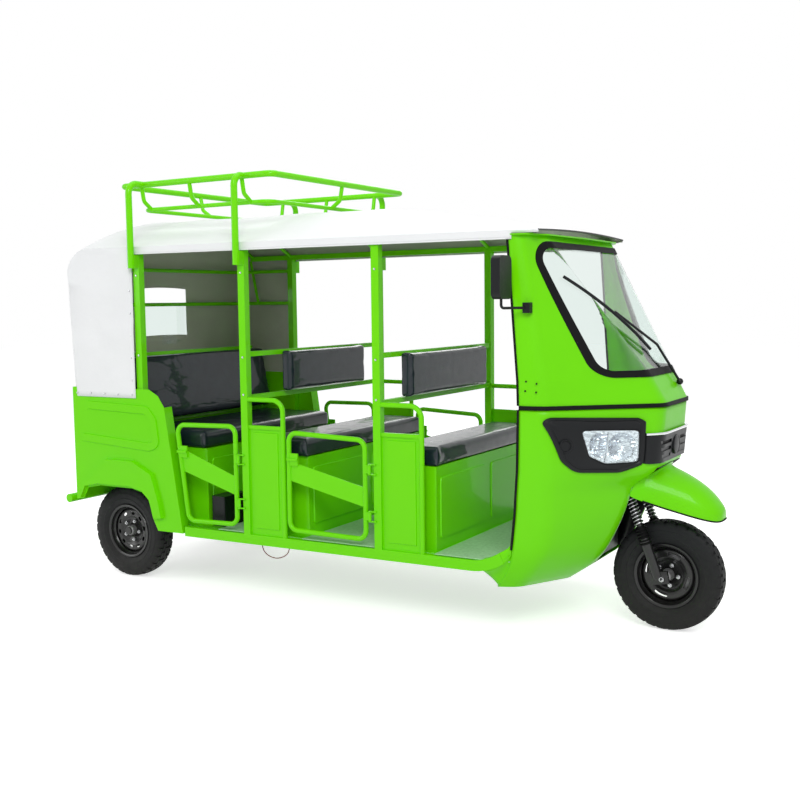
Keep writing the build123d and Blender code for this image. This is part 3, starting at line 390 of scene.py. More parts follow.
def use_group(tree, group, **values):
    node = tree.nodes.new("ShaderNodeGroup")
    node.node_tree = group
    for label, value in values.items():
        if hasattr(value, "is_linked"):
            tree.links.new(value, node.inputs[label])
        else:
            node.inputs[label].default_value = value
    return node.outputs


def add_bump(tree, shader, height, strength, distance, target="Normal", below=None):
    bump = tree.nodes.new("ShaderNodeBump")
    bump.inputs["Strength"].default_value = strength
    bump.inputs["Distance"].default_value = distance
    tree.links.new(height, bump.inputs["Height"])
    if below is not None:
        tree.links.new(below, bump.inputs["Normal"])
    tree.links.new(bump.outputs["Normal"], shader.inputs[target])
    return bump.outputs["Normal"]


def make_finish(name, colour, second, drift=3.0, amount=0.5, grain=200.0, rough=(0.3, 0.5),
                bump=0.1, depth=0.0004, dust=0.0, dust_top=0.6, **sockets):
    material, tree, shader = new_material(name, **sockets)
    place = object_coords(tree)
    colour_out = use_group(tree, drift_group, Vector=place, Colour=colour, Second=second,
                           Scale=drift, Amount=amount)["Colour"]
    if dust:
        mask = use_group(tree, dust_group, Vector=place, Top=dust_top, Amount=dust)["Mask"]
        colour_out = mix_colour(tree, mask, colour_out, srgb(150, 138, 120))
    tree.links.new(colour_out, shader.inputs["Base Color"])
    grain_out = use_group(tree, grain_group, Vector=place, Scale=grain, Low=rough[0], High=rough[1])
    tree.links.new(grain_out["Roughness"], shader.inputs["Roughness"])
    add_bump(tree, shader, grain_out["Height"], bump, depth)
    return material


# %% [markdown]
# ## Paint, steel, plastic and rubber
# The body is sprayed in a bright lime green with a clear, mirror-like top
# coat: the coat gives the sharp highlights and the base stays saturated. Thin
# black parts are satin enamel or moulded plastic, which has a fine grain.

# %% Hard finishes
lime_paint = make_finish(
    "lime_paint", srgb(114, 220, 1), srgb(100, 208, 1), drift=1.6, amount=0.6, grain=420,
    rough=(0.30, 0.42), bump=0.05, depth=0.0002, Coat_Weight=0.22, Coat_Roughness=0.05,
    Coat_IOR=1.4, Specular_IOR_Level=0.10)
black_enamel = make_finish(
    "black_enamel", srgb(7, 8, 10), srgb(14, 15, 17), drift=5, grain=500, rough=(0.28, 0.5),
    bump=0.08, depth=0.0003, dust=0.03, Coat_Weight=0.45, Coat_Roughness=0.12,
    Specular_IOR_Level=0.25)
black_plastic = make_finish(
    "black_plastic", srgb(7, 10, 13), srgb(13, 16, 19), drift=4, grain=900, rough=(0.30, 0.44),
    bump=0.14, depth=0.0003, Specular_IOR_Level=0.25)
black_rubber = make_finish(
    "black_rubber", srgb(3, 3, 4), srgb(8, 8, 10), drift=7, grain=700, rough=(0.5, 0.7),
    bump=0.15, depth=0.0003, Specular_IOR_Level=0.15)
tyre_rubber = make_finish(
    "tyre_rubber", srgb(9, 12, 14), srgb(17, 20, 22), drift=9, grain=500, rough=(0.5, 0.75),
    bump=0.25, depth=0.0005, dust=0.05, dust_top=0.5, Specular_IOR_Level=0.25)
floor_rubber = make_finish(
    "floor_rubber", srgb(188, 226, 184), srgb(112, 168, 108), drift=62, amount=0.9, grain=350,
    rough=(0.45, 0.7), bump=0.5, depth=0.001)
cast_metal = make_finish(
    "cast_metal", srgb(150, 151, 154), srgb(104, 104, 107), drift=6, grain=220, rough=(0.45, 0.7),
    bump=0.3, depth=0.0006, dust=0.4, Metallic=0.7)
bright_steel = make_finish(
    "bright_steel", srgb(190, 191, 193), srgb(160, 161, 164), drift=12, grain=350,
    rough=(0.18, 0.35), bump=0.05, depth=0.0002, Metallic=1.0)
chrome = make_finish(
    "chrome", srgb(226, 228, 230), srgb(205, 208, 212), drift=9, grain=250, rough=(0.04, 0.10),
    bump=0.02, depth=0.0001, Metallic=1.0)
red_lens = make_finish(
    "red_lens", srgb(176, 18, 16), srgb(150, 10, 10), drift=8, grain=120, rough=(0.08, 0.16),
    bump=0.1, depth=0.0004, Coat_Weight=1.0, Coat_Roughness=0.03)
mirror_bowl = make_finish(
    "mirror_bowl", srgb(232, 234, 238), srgb(206, 210, 216), drift=30, grain=120,
    rough=(0.05, 0.14), bump=0.25, depth=0.0006, Metallic=1.0)
wire_skin = make_finish(
    "wire_skin", srgb(112, 34, 22), srgb(84, 26, 20), drift=40, grain=900, rough=(0.35, 0.5),
    bump=0.1, depth=0.0002)
wire.data.materials.append(wire_skin)
print("finishes:", len(bpy.data.materials))

# %% [markdown]
# ## Glass
# The windscreen and the rear window are thin, clear and slightly green. A
# full glass shader bends light inside a thick solid and looks heavy, so the
# shader keeps a low index, and a light tint stands for the pane's colour.

# %% Glass and lens
def make_glass(name, tint, ior, rough):
    material, tree, shader = new_material(
        name, Transmission_Weight=1.0, IOR=ior, Metallic=0.0, Specular_IOR_Level=0.6,
        Coat_Weight=0.6, Coat_Roughness=0.02)
    place = object_coords(tree)
    colour_out = use_group(tree, drift_group, Vector=place, Colour=tint,
                           Second=srgb(214, 228, 222), Scale=2.0, Amount=0.5)["Colour"]
    tree.links.new(colour_out, shader.inputs["Base Color"])
    grain_out = use_group(tree, grain_group, Vector=place, Scale=30, Low=rough, High=rough + 0.04)
    tree.links.new(grain_out["Roughness"], shader.inputs["Roughness"])
    return material


screen_glass = make_glass("screen_glass", srgb(232, 242, 238), 1.12, 0.0)
lens_glass = make_glass("lens_glass", srgb(240, 244, 246), 1.25, 0.02)

# %% [markdown]
# ## Canopy cloth
# The canopy is white coated fabric outside and beige grey inside. A weave can
# be drawn with two wave textures that cross. The two sides share one sheet,
# so each gets a material of its own and the lining goes on the inner faces.

# %% Cloth materials
def make_cloth(name, colour, second, threads, bump, rough):
    material, tree, shader = new_material(name, Sheen_Weight=0.15, Sheen_Roughness=0.5)
    place = object_coords(tree)
    heights = []
    for direction in ("X", "Z"):
        wave = tree.nodes.new("ShaderNodeTexWave")
        wave.bands_direction = direction
        wave.inputs["Scale"].default_value = threads
        wave.inputs["Distortion"].default_value = 0.6
        tree.links.new(place, wave.inputs["Vector"])
        heights.append(wave.outputs["Fac"])
    weave = math_node(tree, "MULTIPLY", *heights)
    crease = noise_node(tree, place, 9.0, 6.0, 0.6)
    colour_out = use_group(tree, drift_group, Vector=place, Colour=colour, Second=second,
                           Scale=2.2, Amount=0.9)["Colour"]
    tree.links.new(colour_out, shader.inputs["Base Color"])
    grain_out = use_group(tree, grain_group, Vector=place, Scale=260, Low=rough, High=rough + 0.2)
    tree.links.new(grain_out["Roughness"], shader.inputs["Roughness"])
    broad = tree.nodes.new("ShaderNodeBump")
    broad.inputs["Strength"].default_value = 0.22
    broad.inputs["Distance"].default_value = 0.012
    tree.links.new(crease, broad.inputs["Height"])
    add_bump(tree, shader, weave, bump, 0.0004, below=broad.outputs["Normal"])
    return material


canopy_white = make_cloth("canopy_white", srgb(236, 237, 238), srgb(222, 224, 226), 150, 0.12, 0.45)
canopy_lining = make_cloth("canopy_lining", srgb(203, 201, 192), srgb(186, 184, 174), 150, 0.2, 0.7)
canopy_binding = make_finish(
    "canopy_binding", srgb(24, 25, 25), srgb(36, 37, 37), drift=14, grain=600, rough=(0.6, 0.8),
    bump=0.3, depth=0.0006, Sheen_Weight=0.2)

# %% [markdown]
# ## Seat vinyl under clear wrap
# The seats are slate black vinyl, still in the clear film that they were
# shipped in. The film could be a second thin shell, but a clear coat with its
# own wrinkled normal gives the same sharp glints on one closed mesh.

# %% Seat vinyl
def make_vinyl():
    material, tree, shader = new_material(
        "seat_vinyl", Coat_Weight=0.55, Coat_Roughness=0.04, Coat_IOR=1.5, Specular_IOR_Level=0.2)
    place = object_coords(tree)
    grain_cells = tree.nodes.new("ShaderNodeTexVoronoi")
    grain_cells.inputs["Scale"].default_value = 420
    tree.links.new(place, grain_cells.inputs["Vector"])
    stretch = tree.nodes.new("ShaderNodeMapping")
    stretch.inputs["Scale"].default_value = (1.0, 0.45, 1.0)
    tree.links.new(place, stretch.inputs["Vector"])
    wrap = tree.nodes.new("ShaderNodeTexNoise")
    wrap.noise_type = "RIDGED_MULTIFRACTAL"
    wrap.inputs["Scale"].default_value = 13.0
    wrap.inputs["Detail"].default_value = 3.5
    wrap.inputs["Distortion"].default_value = 0.7
    tree.links.new(stretch.outputs["Vector"], wrap.inputs["Vector"])
    colour_out = use_group(tree, drift_group, Vector=place, Colour=srgb(12, 22, 30),
                           Second=srgb(26, 40, 50), Scale=14.0, Amount=0.8)["Colour"]
    tree.links.new(colour_out, shader.inputs["Base Color"])
    grain_out = use_group(tree, grain_group, Vector=place, Scale=300, Low=0.32, High=0.5)
    tree.links.new(grain_out["Roughness"], shader.inputs["Roughness"])
    add_bump(tree, shader, grain_cells.outputs["Distance"], 0.25, 0.0008)
    add_bump(tree, shader, wrap.outputs["Fac"], 0.55, 0.007, target="Coat Normal")
    return material


seat_vinyl = make_vinyl()

# %% [markdown]
# ## Finish for each CAD node
# A CAD node keeps its mesh and only swaps its material. One table says which
# finish each piece has, so a colour is changed in one place.

# %% Assign the finishes
finishes = {
    lime_paint: ["side_sills", "floor_pan", "rear_tub", "tailboard", "rear_bumper", "posts",
                 "roof_frame", "rear_rails", "backrest_rails", "side_panels", "gate_front_right",
                 "gate_rear_right", "gate_front_left", "gate_rear_left", "hinge_pins",
                 "seat_boxes", "cab_lower", "cab_upper", "front_mudguard", "roof_rack"],
    black_enamel: ["chassis_rails", "chassis_members", "rear_axle", "leaf_springs", "fork",
                   "handlebar", "front_rim", "rear_rim_right", "rear_rim_left"],
    black_plastic: ["battery_box", "headlamp_bezels", "grille", "dashboard", "mirrors", "wiper"],
    black_rubber: ["edge_trims", "windscreen_gasket", "wire_loop"],
    tyre_rubber: ["front_tyre", "rear_tyre_right", "rear_tyre_left"],
    floor_rubber: ["floor_mats"],
    cast_metal: ["engine_block"],
    red_lens: ["tail_lamps"],
    screen_glass: ["windscreen", "rear_window"],
    lens_glass: ["headlamp_lenses"],
    canopy_white: ["canopy"],
    seat_vinyl: ["cushion_rear", "cushion_middle", "cushion_driver", "backrest_rear",
                 "backrest_middle", "backrest_driver"],
}
for finish, names in finishes.items():
    for name in names:
        node_mesh = nodes[name].data
        node_mesh.materials.clear()
        node_mesh.materials.append(finish)
unpainted = set(nodes) - {name for names in finishes.values() for name in names}
print("nodes with no finish:", sorted(unpainted))

# %% [markdown]
# ## The canopy
# The real canopy is one cover sewn from coated cloth and pulled over tube
# bows, with a curtain round the rear. It could be lofted from arches, but a
# box is quicker: cut it along the curtain, round its rear edges, slice it
# fine, and then raise its flat top into the arch of the bows.

# %% Canopy shape
CANOPY_REAR, CANOPY_FRONT, CURTAIN_FRONT = -1.6845, 1.058, -1.216
CURTAIN_LOW, VALANCE_LOW, ARCH_FOOT = 1.044, 1.812, 1.852
CANOPY_OUT, REAR_ROUND, CORNER_ROUND = 0.0125, 0.150, 0.060
CROWN = [(-2.0, 2.036), (0.0, 2.036), (0.430, 1.980), (0.920, 1.897), (1.060, 1.864)]
LIP_RUN = (0.925, 0.940)         # here the side edge rises onto the peak
LIP_LOW = 1.837
WINDOW_HALF, WINDOW_LOW, WINDOW_TOP = 0.207, 1.300, 1.536
NOSE_FROM, NOSE_PULL = 0.930, 0.040     # the cover narrows here to meet the cab
BOWS = [-1.515, X_POST1, X_POST2, X_POST3, 0.640, 0.930]


def crown_at(x):
    for (x0, z0), (x1, z1) in zip(CROWN, CROWN[1:]):
        if x <= x1:
            return z0 + (z1 - z0) * (x - x0) / (x1 - x0)
    return CROWN[-1][1]


def sag_at(x):
    """The cloth dips a little between the bows that carry it."""
    for x0, x1 in zip(BOWS, BOWS[1:]):
        if x0 <= x <= x1:
            return 0.006 * sin(pi * (x - x0) / (x1 - x0))
    return 0.0


def canopy_half(x):
    if x < NOSE_FROM:
        return half_at(x) + CANOPY_OUT
    share = (x - NOSE_FROM) / (CANOPY_FRONT - NOSE_FROM)
    return half_at(x) + CANOPY_OUT - NOSE_PULL * share


def shape_canopy():
    work = bmesh.new()
    bmesh.ops.create_cube(work, size=1.0)
    length = CANOPY_FRONT - CANOPY_REAR
    for vert in work.verts:
        vert.co.x = CANOPY_REAR + (vert.co.x + 0.5) * length
        vert.co.y *= 2 * (half_at(vert.co.x) + CANOPY_OUT)
        vert.co.z = CURTAIN_LOW + (vert.co.z + 0.5) * (ARCH_FOOT - CURTAIN_LOW)
    open_faces = [f for f in work.faces if f.normal.z < -0.9 or f.normal.x > 0.9]
    bmesh.ops.delete(work, geom=open_faces, context="FACES")
    rear_edges = [e for e in work.edges if len(e.link_faces) == 2
                  and all(v.co.x < CANOPY_REAR + 1e-4 for v in e.verts)]
    upright = [e for e in rear_edges if abs(e.verts[0].co.z - e.verts[1].co.z) > 0.1]
    level = [e for e in rear_edges if e not in upright]
    bmesh.ops.bevel(work, geom=level, offset=REAR_ROUND, affect="EDGES", segments=10, profile=0.5,
                    material=-1)
    rear_edges = [e for e in work.edges if len(e.link_faces) == 2
                  and abs(e.verts[0].co.z - e.verts[1].co.z) > 0.1
                  and all(v.co.x < CANOPY_REAR + 1e-4 for v in e.verts)]
    bmesh.ops.bevel(work, geom=rear_edges, offset=CORNER_ROUND, affect="EDGES", segments=5,
                    profile=0.5, material=-1)
    slice_box(work, steps(CANOPY_REAR + 0.16, CURTAIN_FRONT, 12), 0)
    slice_box(work, steps(CURTAIN_FRONT, LIP_RUN[0], 60)[1:], 0)
    slice_box(work, steps(LIP_RUN[0], CANOPY_FRONT, 6)[1:-1], 0)
    slice_box(work, steps(-0.70, 0.70, 44), 1)
    slice_box(work, steps(CURTAIN_LOW, VALANCE_LOW, 24)[1:], 2)
    slice_box(work, (WINDOW_LOW, WINDOW_TOP, 1.826, 1.840), 2)
    slice_box(work, (-WINDOW_HALF, WINDOW_HALF), 1)
    gone = []
    for face in work.faces:
        spot = face.calc_center_median()
        side_low = spot.z < VALANCE_LOW and spot.x > CURTAIN_FRONT
        window = (spot.x < CANOPY_REAR + 0.01 and abs(spot.y) < WINDOW_HALF
                  and WINDOW_LOW < spot.z < WINDOW_TOP)
        lip = spot.x > LIP_RUN[1] and spot.z < LIP_LOW and abs(face.normal.z) < 0.5
        if side_low or window or lip:
            gone.append(face)
    bmesh.ops.delete(work, geom=gone, context="FACES")
    return work


def drape_canopy(work):
    span = ARCH_FOOT - CURTAIN_LOW
    for vert in work.verts:
        x, y, z = vert.co
        flat_half = half_at(x) + CANOPY_OUT
        across = max(-1.0, min(1.0, y / flat_half))
        crown = crown_at(x) - sag_at(x)
        arch = ARCH_FOOT + (crown - ARCH_FOOT) * (1 - across * across)
        share = (z - CURTAIN_LOW) / span
        vert.co.z = CURTAIN_LOW + share * (arch - CURTAIN_LOW)
        vert.co.y = across * canopy_half(x)
        # pulled creases on the curtain, none along its riveted lower edge
        loose = max(0.0, min(1.0, (vert.co.z - CURTAIN_LOW) / 0.12)) * (z < ARCH_FOOT - 0.02)
        slope = Vector((x * 2.4 + z * 3.0, y * 2.4, z * 2.2 - x * 2.6))
        crease = noise.noise(slope * 1.6) * 0.010 + noise.noise(slope * 4.1) * 0.004
        if x < CURTAIN_FRONT + 0.01:
            sideways = Vector((0, 1 if y > 0 else -1, 0))
            outward = Vector((-1, 0, 0)) if x < CANOPY_REAR + 0.02 else sideways
            vert.co += outward * max(-0.002, crease * loose)


canopy_work = shape_canopy()
drape_canopy(canopy_work)
bmesh.ops.recalc_face_normals(canopy_work, faces=canopy_work.faces)
canopy_area = sum(face.calc_area() for face in canopy_work.faces)
canopy = make_piece("canopy_cover", canopy_work, canopy_white, sharp=50, extra=(canopy_lining,))
add_modifier(canopy, "SOLIDIFY", thickness=0.0025, offset=-1.0, material_offset=1,
             material_offset_rim=0)
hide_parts("canopy")
print("canopy cloth", round(canopy_area, 2), "square metres")

# %% [markdown]
# ## Tyres with cut treads
# Each tyre has a rounded side wall with two fine ribs and a tread of blocks
# round a centre rib. A displacement texture would blur the edges of the
# blocks, so the carcass is spun first and then the blocks are extruded.

# %% Tyres
TYRE_STEPS = 120
MODEL_RADIUS = 0.260             # the radius that the profile below is drawn for
TREAD_FROM, BLOCK_HIGH, BLOCK_TAPER = 0.232, 0.0052, 0.992
RIB_EDGE, BLOCK_IN, BLOCK_OUT, LUG_IN = 0.008, 0.0105, 0.026, 0.029
tyre_rows = {
    # name: body, centre, radius, half width
    "front_tyre": ("front_wheel", (1.484, 0.0, 0.260), 0.260, 0.056),
    "rear_tyre_right": ("rear_wheel_right", (-1.468, -0.508, 0.262), 0.262, 0.058),
    "rear_tyre_left": ("rear_wheel_left", (-1.468, 0.508, 0.262), 0.262, 0.058),
}


def tyre_half_profile(radius, half):
    drop = radius - MODEL_RADIUS
    return [(0.0390, 0.1400), (0.0400, 0.1475), (0.0430, 0.1550), (half - 0.0050, 0.1690),
            (half - 0.0018, 0.1800), (half - 0.0004, 0.1835), (half - 0.0004, 0.1875),
            (half - 0.0014, 0.1890), (half - 0.0002, 0.2010 + drop), (half, 0.2110 + drop),
            (half, 0.2150 + drop), (half - 0.0012, 0.2165 + drop), (half - 0.0030, 0.2300 + drop),
            (half - 0.0065, 0.2415 + drop), (half - 0.0120, 0.2490 + drop),
            (0.0290, 0.2528 + drop), (0.0260, 0.2530 + drop), (0.0105, 0.2545 + drop),
            (0.0080, 0.2545 + drop)]


def tread_column(side):
    """Centre rib, block or shoulder lug at a distance from the middle; None in a groove."""
    for edge, column in ((RIB_EDGE, 0), (BLOCK_IN, None), (BLOCK_OUT, 1), (LUG_IN, None)):
        if side < edge:
            return column
    return 2


def raised(column, index):
    """Which faces of a column stand up, so that the rest are the cross grooves."""
    if column == 0:
        return index % 12 not in (5, 11)
    if column == 1:
        return index % 4 != 1
    return index % 4 != 3


def make_tyre(name, body, centre, radius, half):
    work = bmesh.new()
    right = tyre_half_profile(radius, half)
    profile = right + [(-y, r) for y, r in reversed(right)]
    spin_profile(work, profile, TYRE_STEPS)
    blocks = {}
    for face in work.faces:
        spot = face.calc_center_median()
        reach = sqrt(spot.x ** 2 + spot.z ** 2)
        if reach < TREAD_FROM + radius - MODEL_RADIUS:
            continue
        index = int(degrees(atan2(spot.x, spot.z)) % 360 / 360 * TYRE_STEPS)
        column = tread_column(abs(spot.y))
        if column is not None and raised(column, index + (2 if spot.y > 0 else 0)):
            blocks.setdefault(column, []).append(face)
    for faces in blocks.values():
        made = bmesh.ops.extrude_face_region(work, geom=faces)
        tops = [item for item in made["geom"] if isinstance(item, bmesh.types.BMVert)]
        for vert in tops:
            out = Vector((vert.co.x, 0, vert.co.z)).normalized()
            vert.co += out * BLOCK_HIGH
            vert.co.y *= BLOCK_TAPER
        bmesh.ops.delete(work, geom=faces, context="FACES")
    close_up(work)
    move_to(work, Matrix.Translation(centre))
    piece = make_piece("tread_" + name, work, tyre_rubber, body, sharp=28)
    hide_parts(name)
    return len(piece.data.polygons)


for name, row in tyre_rows.items():
    print(name, make_tyre(name, *row), "faces")

# %% [markdown]
# ## Pressed wheels
# The wheels are black pressed steel: a barrel with rolled lips, and a dished
# disc with long slots and a bolted hub. The slots are faces of the spun disc
# that are deleted, and a Solidify modifier gives both sheets their thickness.

# %% Wheels
BARREL = [(-0.0440, 0.1500), (-0.0462, 0.1520), (-0.0478, 0.1505), (-0.0470, 0.1455),
          (-0.0440, 0.1400), (-0.0330, 0.1368), (-0.0270, 0.1350), (-0.0200, 0.1285),
          (0.0200, 0.1285), (0.0270, 0.1350), (0.0330, 0.1368), (0.0440, 0.1400),
          (0.0470, 0.1455), (0.0478, 0.1505), (0.0462, 0.1520), (0.0440, 0.1500)]
DISC = [(0.0030, 0.1280), (-0.0060, 0.1262), (-0.0140, 0.1210), (-0.0190, 0.1120),
        (-0.0195, 0.1060), (-0.0180, 0.0900), (-0.0150, 0.0820), (-0.0080, 0.0740),
        (-0.0060, 0.0700), (-0.0060, 0.0300)]
wheel_rows = {
    # name: body, centre, side that faces out, slots, faces per slot, nuts, nut circle, hub
    "front_rim": ("front_wheel", (1.484, 0.0, 0.260), 1, 4, 12, 5, 0.050,
                  [(-0.062, 0.0), (-0.062, 0.021), (-0.056, 0.026), (-0.014, 0.028),
                   (-0.004, 0.029), (0.004, 0.064), (0.008, 0.104), (0.012, 0.110),
                   (0.030, 0.110), (0.035, 0.104), (0.040, 0.040), (0.056, 0.032),
                   (0.062, 0.026), (0.062, 0.0)]),
    "rear_rim_right": ("rear_wheel_right", (-1.468, -0.508, 0.262), 1, 10, 5, 5, 0.055,
                       [(-0.040, 0.0), (-0.040, 0.024), (-0.034, 0.028), (-0.012, 0.029),
                        (-0.004, 0.029), (0.004, 0.066), (0.010, 0.060), (0.010, 0.0)]),
    "rear_rim_left": ("rear_wheel_left", (-1.468, 0.508, 0.262), -1, 10, 5, 5, 0.055,
                      [(-0.040, 0.0), (-0.040, 0.024), (-0.034, 0.028), (-0.012, 0.029),
                       (-0.004, 0.029), (0.004, 0.066), (0.010, 0.060), (0.010, 0.0)]),
}


SLOT_LOW, SLOT_HIGH = 0.090, 0.106


def cut_slots(work, slots, span, steps):
    period = steps // slots
    gone = []
    for face in work.faces:
        spot = face.calc_center_median()
        reach = sqrt(spot.x ** 2 + spot.z ** 2)
        index = int(degrees(atan2(spot.x, spot.z)) % 360 / 360 * steps)
        if SLOT_LOW < reach < SLOT_HIGH and index % period < span:
            gone.append(face)
    bmesh.ops.delete(work, geom=gone, context="FACES")
    corners = [v for v in work.verts if v.is_boundary and len(v.link_faces) == 3
               and SLOT_LOW - 0.0005 < sqrt(v.co.x ** 2 + v.co.z ** 2) < SLOT_HIGH + 0.0005]
    bmesh.ops.bevel(work, geom=corners, offset=0.0055, affect="VERTICES", segments=3, profile=0.5,
                    material=-1)


def make_wheel(name, body, centre, out, slots, span, nuts, ring, hub):
    steps = 120
    place = Matrix.Translation(centre) @ Matrix.Scale(out, 4, (0, 1, 0))
    sheets = bmesh.new()
    spin_profile(sheets, DISC, steps)
    cut_slots(sheets, slots, span, steps)
    spin_profile(sheets, BARREL, steps)
    close_up(sheets)
    move_to(sheets, place)
    bmesh.ops.recalc_face_normals(sheets, faces=sheets.faces[:])
    wheel = make_piece("pressed_" + name, sheets, black_enamel, body, sharp=40)
    add_modifier(wheel, "SOLIDIFY", thickness=0.0032, offset=0.0)
    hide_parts(name)
    core = bmesh.new()
    spin_profile(core, hub, 48)
    close_up(core)
    move_to(core, place)
    bmesh.ops.recalc_face_normals(core, faces=core.faces[:])
    make_piece("hub_" + name, core, cast_metal, body, sharp=30)
    bolts = bmesh.new()
    for i in range(nuts):
        turn = 2 * pi * i / nuts + 0.4
        spot = (ring * sin(turn), -0.009, ring * cos(turn))
        add_bolt(bolts, spot, (0, -1, 0), 0.0125, 0.012)
        add_bolt(bolts, (spot[0], -0.021, spot[2]), (0, -1, 0), 0.0065, 0.006, 10)
    soften(bolts, 0.0008)
    move_to(bolts, place)
    bmesh.ops.recalc_face_normals(bolts, faces=bolts.faces[:])
    make_piece("nuts_" + name, bolts, bright_steel, body)


for name, row in wheel_rows.items():
    make_wheel(name, *row)
print("wheels:", list(wheel_rows))

# %% [markdown]
# ## The front fork
# Two legs hold the front wheel. Each has a bright coil spring over its upper
# tube, a folded rubber gaiter and a thick lower tube. All of them lie along
# the leaning steering axis, so they are made upright and then tipped over.

# %% Fork
STEER_LEAN = radians(20.6)
STEER_PLACE = Matrix.Translation((1.354, 0, 0.553)) @ Matrix.Rotation(-STEER_LEAN, 4, "Y")
LEG_SIDE = 0.098


def fork_frame(side=0.0, high=0.0):
    return STEER_PLACE @ Matrix.Translation((0, side, high))


def make_fork():
    steel, rubber, coils = bmesh.new(), bmesh.new(), bmesh.new()
    for side in (-LEG_SIDE, LEG_SIDE):
        leg = bmesh.new()
        spin_profile(leg, [(-0.318, 0.0), (-0.318, 0.018), (-0.308, 0.0235), (-0.140, 0.0235),
                           (-0.136, 0.0255), (-0.120, 0.0255), (-0.118, 0.0150), (0.108, 0.0150),
                           (0.110, 0.0130), (0.110, 0.0)], 32, axis=(0, 0, 1))
        close_up(leg)
        move_to(leg, fork_frame(side))
        mesh = bpy.data.meshes.new("leg")
        leg.to_mesh(mesh)
        steel.from_mesh(mesh)
        bellows = bmesh.new()
        folds = [(-0.150, 0.0245)]
        for i in range(6):
            folds += [(-0.144 + 0.014 * i, 0.0290), (-0.137 + 0.014 * i, 0.0235)]
        spin_profile(bellows, folds + [(-0.060, 0.0200)], 32, axis=(0, 0, 1))
        close_up(bellows)
        move_to(bellows, fork_frame(side))
        bellows.to_mesh(mesh)
        rubber.from_mesh(mesh)
        coil = bmesh.new()
        ring = bmesh.ops.create_circle(coil, cap_ends=False, segments=8, radius=0.0036)
        move_to(coil, Matrix.Translation((0.0205, 0, -0.058)) @ Matrix.Rotation(pi / 2, 4, "X"),
                ring["verts"])
        bmesh.ops.spin(coil, geom=coil.verts[:] + coil.edges[:], cent=(0, 0, 0), axis=(0, 0, 1),
                       dvec=(0, 0, 0.132 / 192), angle=2 * pi * 8, steps=192, use_merge=False,
                       use_duplicate=False)
        close_up(coil)
        move_to(coil, fork_frame(side))
        coil.to_mesh(mesh)
        coils.from_mesh(mesh)
        bpy.data.meshes.remove(mesh)
        for extra in (leg, bellows, coil):
            extra.free()
    # bridge, column and the lugs that hold the axle
    block = bmesh.ops.create_cube(steel, size=1.0)
    move_to(steel, fork_frame(0, 0.095) @ Matrix.Diagonal((0.056, 0.244, 0.022, 1)), block["verts"])
    tube = bmesh.ops.create_cone(steel, cap_ends=True, segments=32, radius1=0.0218, radius2=0.0218,
                                 depth=0.455)
    move_to(steel, fork_frame(0, 0.3325), tube["verts"])
    for side in (-LEG_SIDE, LEG_SIDE):
        lug = bmesh.ops.create_cube(steel, size=1.0)
        move_to(steel, Matrix.Translation((1.470, side, 0.262))
                @ Matrix.Rotation(-0.2, 4, "Y") @ Matrix.Diagonal((0.086, 0.018, 0.058, 1)),
                lug["verts"])
    axle = bmesh.ops.create_cone(steel, cap_ends=True, segments=20, radius1=0.0097, radius2=0.0097,
                                 depth=0.236)
    move_to(steel, Matrix.Translation((1.484, 0, 0.260)) @ Matrix.Rotation(pi / 2, 4, "X"),
            axle["verts"])
    soften(steel, 0.0015, 60)
    bmesh.ops.recalc_face_normals(steel, faces=steel.faces[:])
    fork = make_piece("fork_steel", steel, black_enamel, "steering")
    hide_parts("fork")
    make_piece("fork_gaiters", rubber, black_rubber, "steering", sharp=60)
    make_piece("fork_springs", coils, bright_steel, "steering", sharp=60)
    nuts = bmesh.new()
    for out in (-1, 1):
        add_bolt(nuts, (1.484, out * 0.108, 0.260), (0, out, 0), 0.0150, 0.010)
    soften(nuts, 0.001)
    make_piece("axle_nuts", nuts, bright_steel, "steering")


make_fork()
print("fork leans", round(degrees(STEER_LEAN), 1), "degrees")

# %% [markdown]
# ## The cab's lower shell
# The front of the cab is one smooth pressing, wide at the doors and narrow at
# the nose. Plan outlines at many heights are bridged into a skin. The outline
# at any height comes from a few measured rows, with soft steps between them.

# %% Cab outline
CAB_ROWS = [
    # z, rear edge (x, half), corner (x, half, radius), nose (x, half, radius)
    (0.240, 0.850, 0.520, 0.935, 0.480, 0.12, 1.075, 0.215, 0.09),
    (0.330, 0.910, 0.545, 1.010, 0.500, 0.12, 1.195, 0.215, 0.10),
    (0.430, 0.940, 0.560, 1.070, 0.525, 0.12, 1.264, 0.215, 0.10),
    (0.600, 0.962, 0.570, 1.105, 0.540, 0.12, 1.338, 0.205, 0.10),
    (0.690, 0.968, 0.572, 1.105, 0.546, 0.12, 1.366, 0.200, 0.10),
    (0.762, 0.973, 0.573, 1.108, 0.551, 0.12, 1.455, 0.197, 0.10),
    (0.790, 0.975, 0.573, 1.110, 0.552, 0.12, 1.485, 0.195, 0.10),
    (1.066, 0.980, 0.573, 1.085, 0.560, 0.12, 1.512, 0.190, 0.10)]
WELL_HALF, WELL_TOP, WELL_REAR = 0.175, 0.785, 1.175
WAIST = 1.066


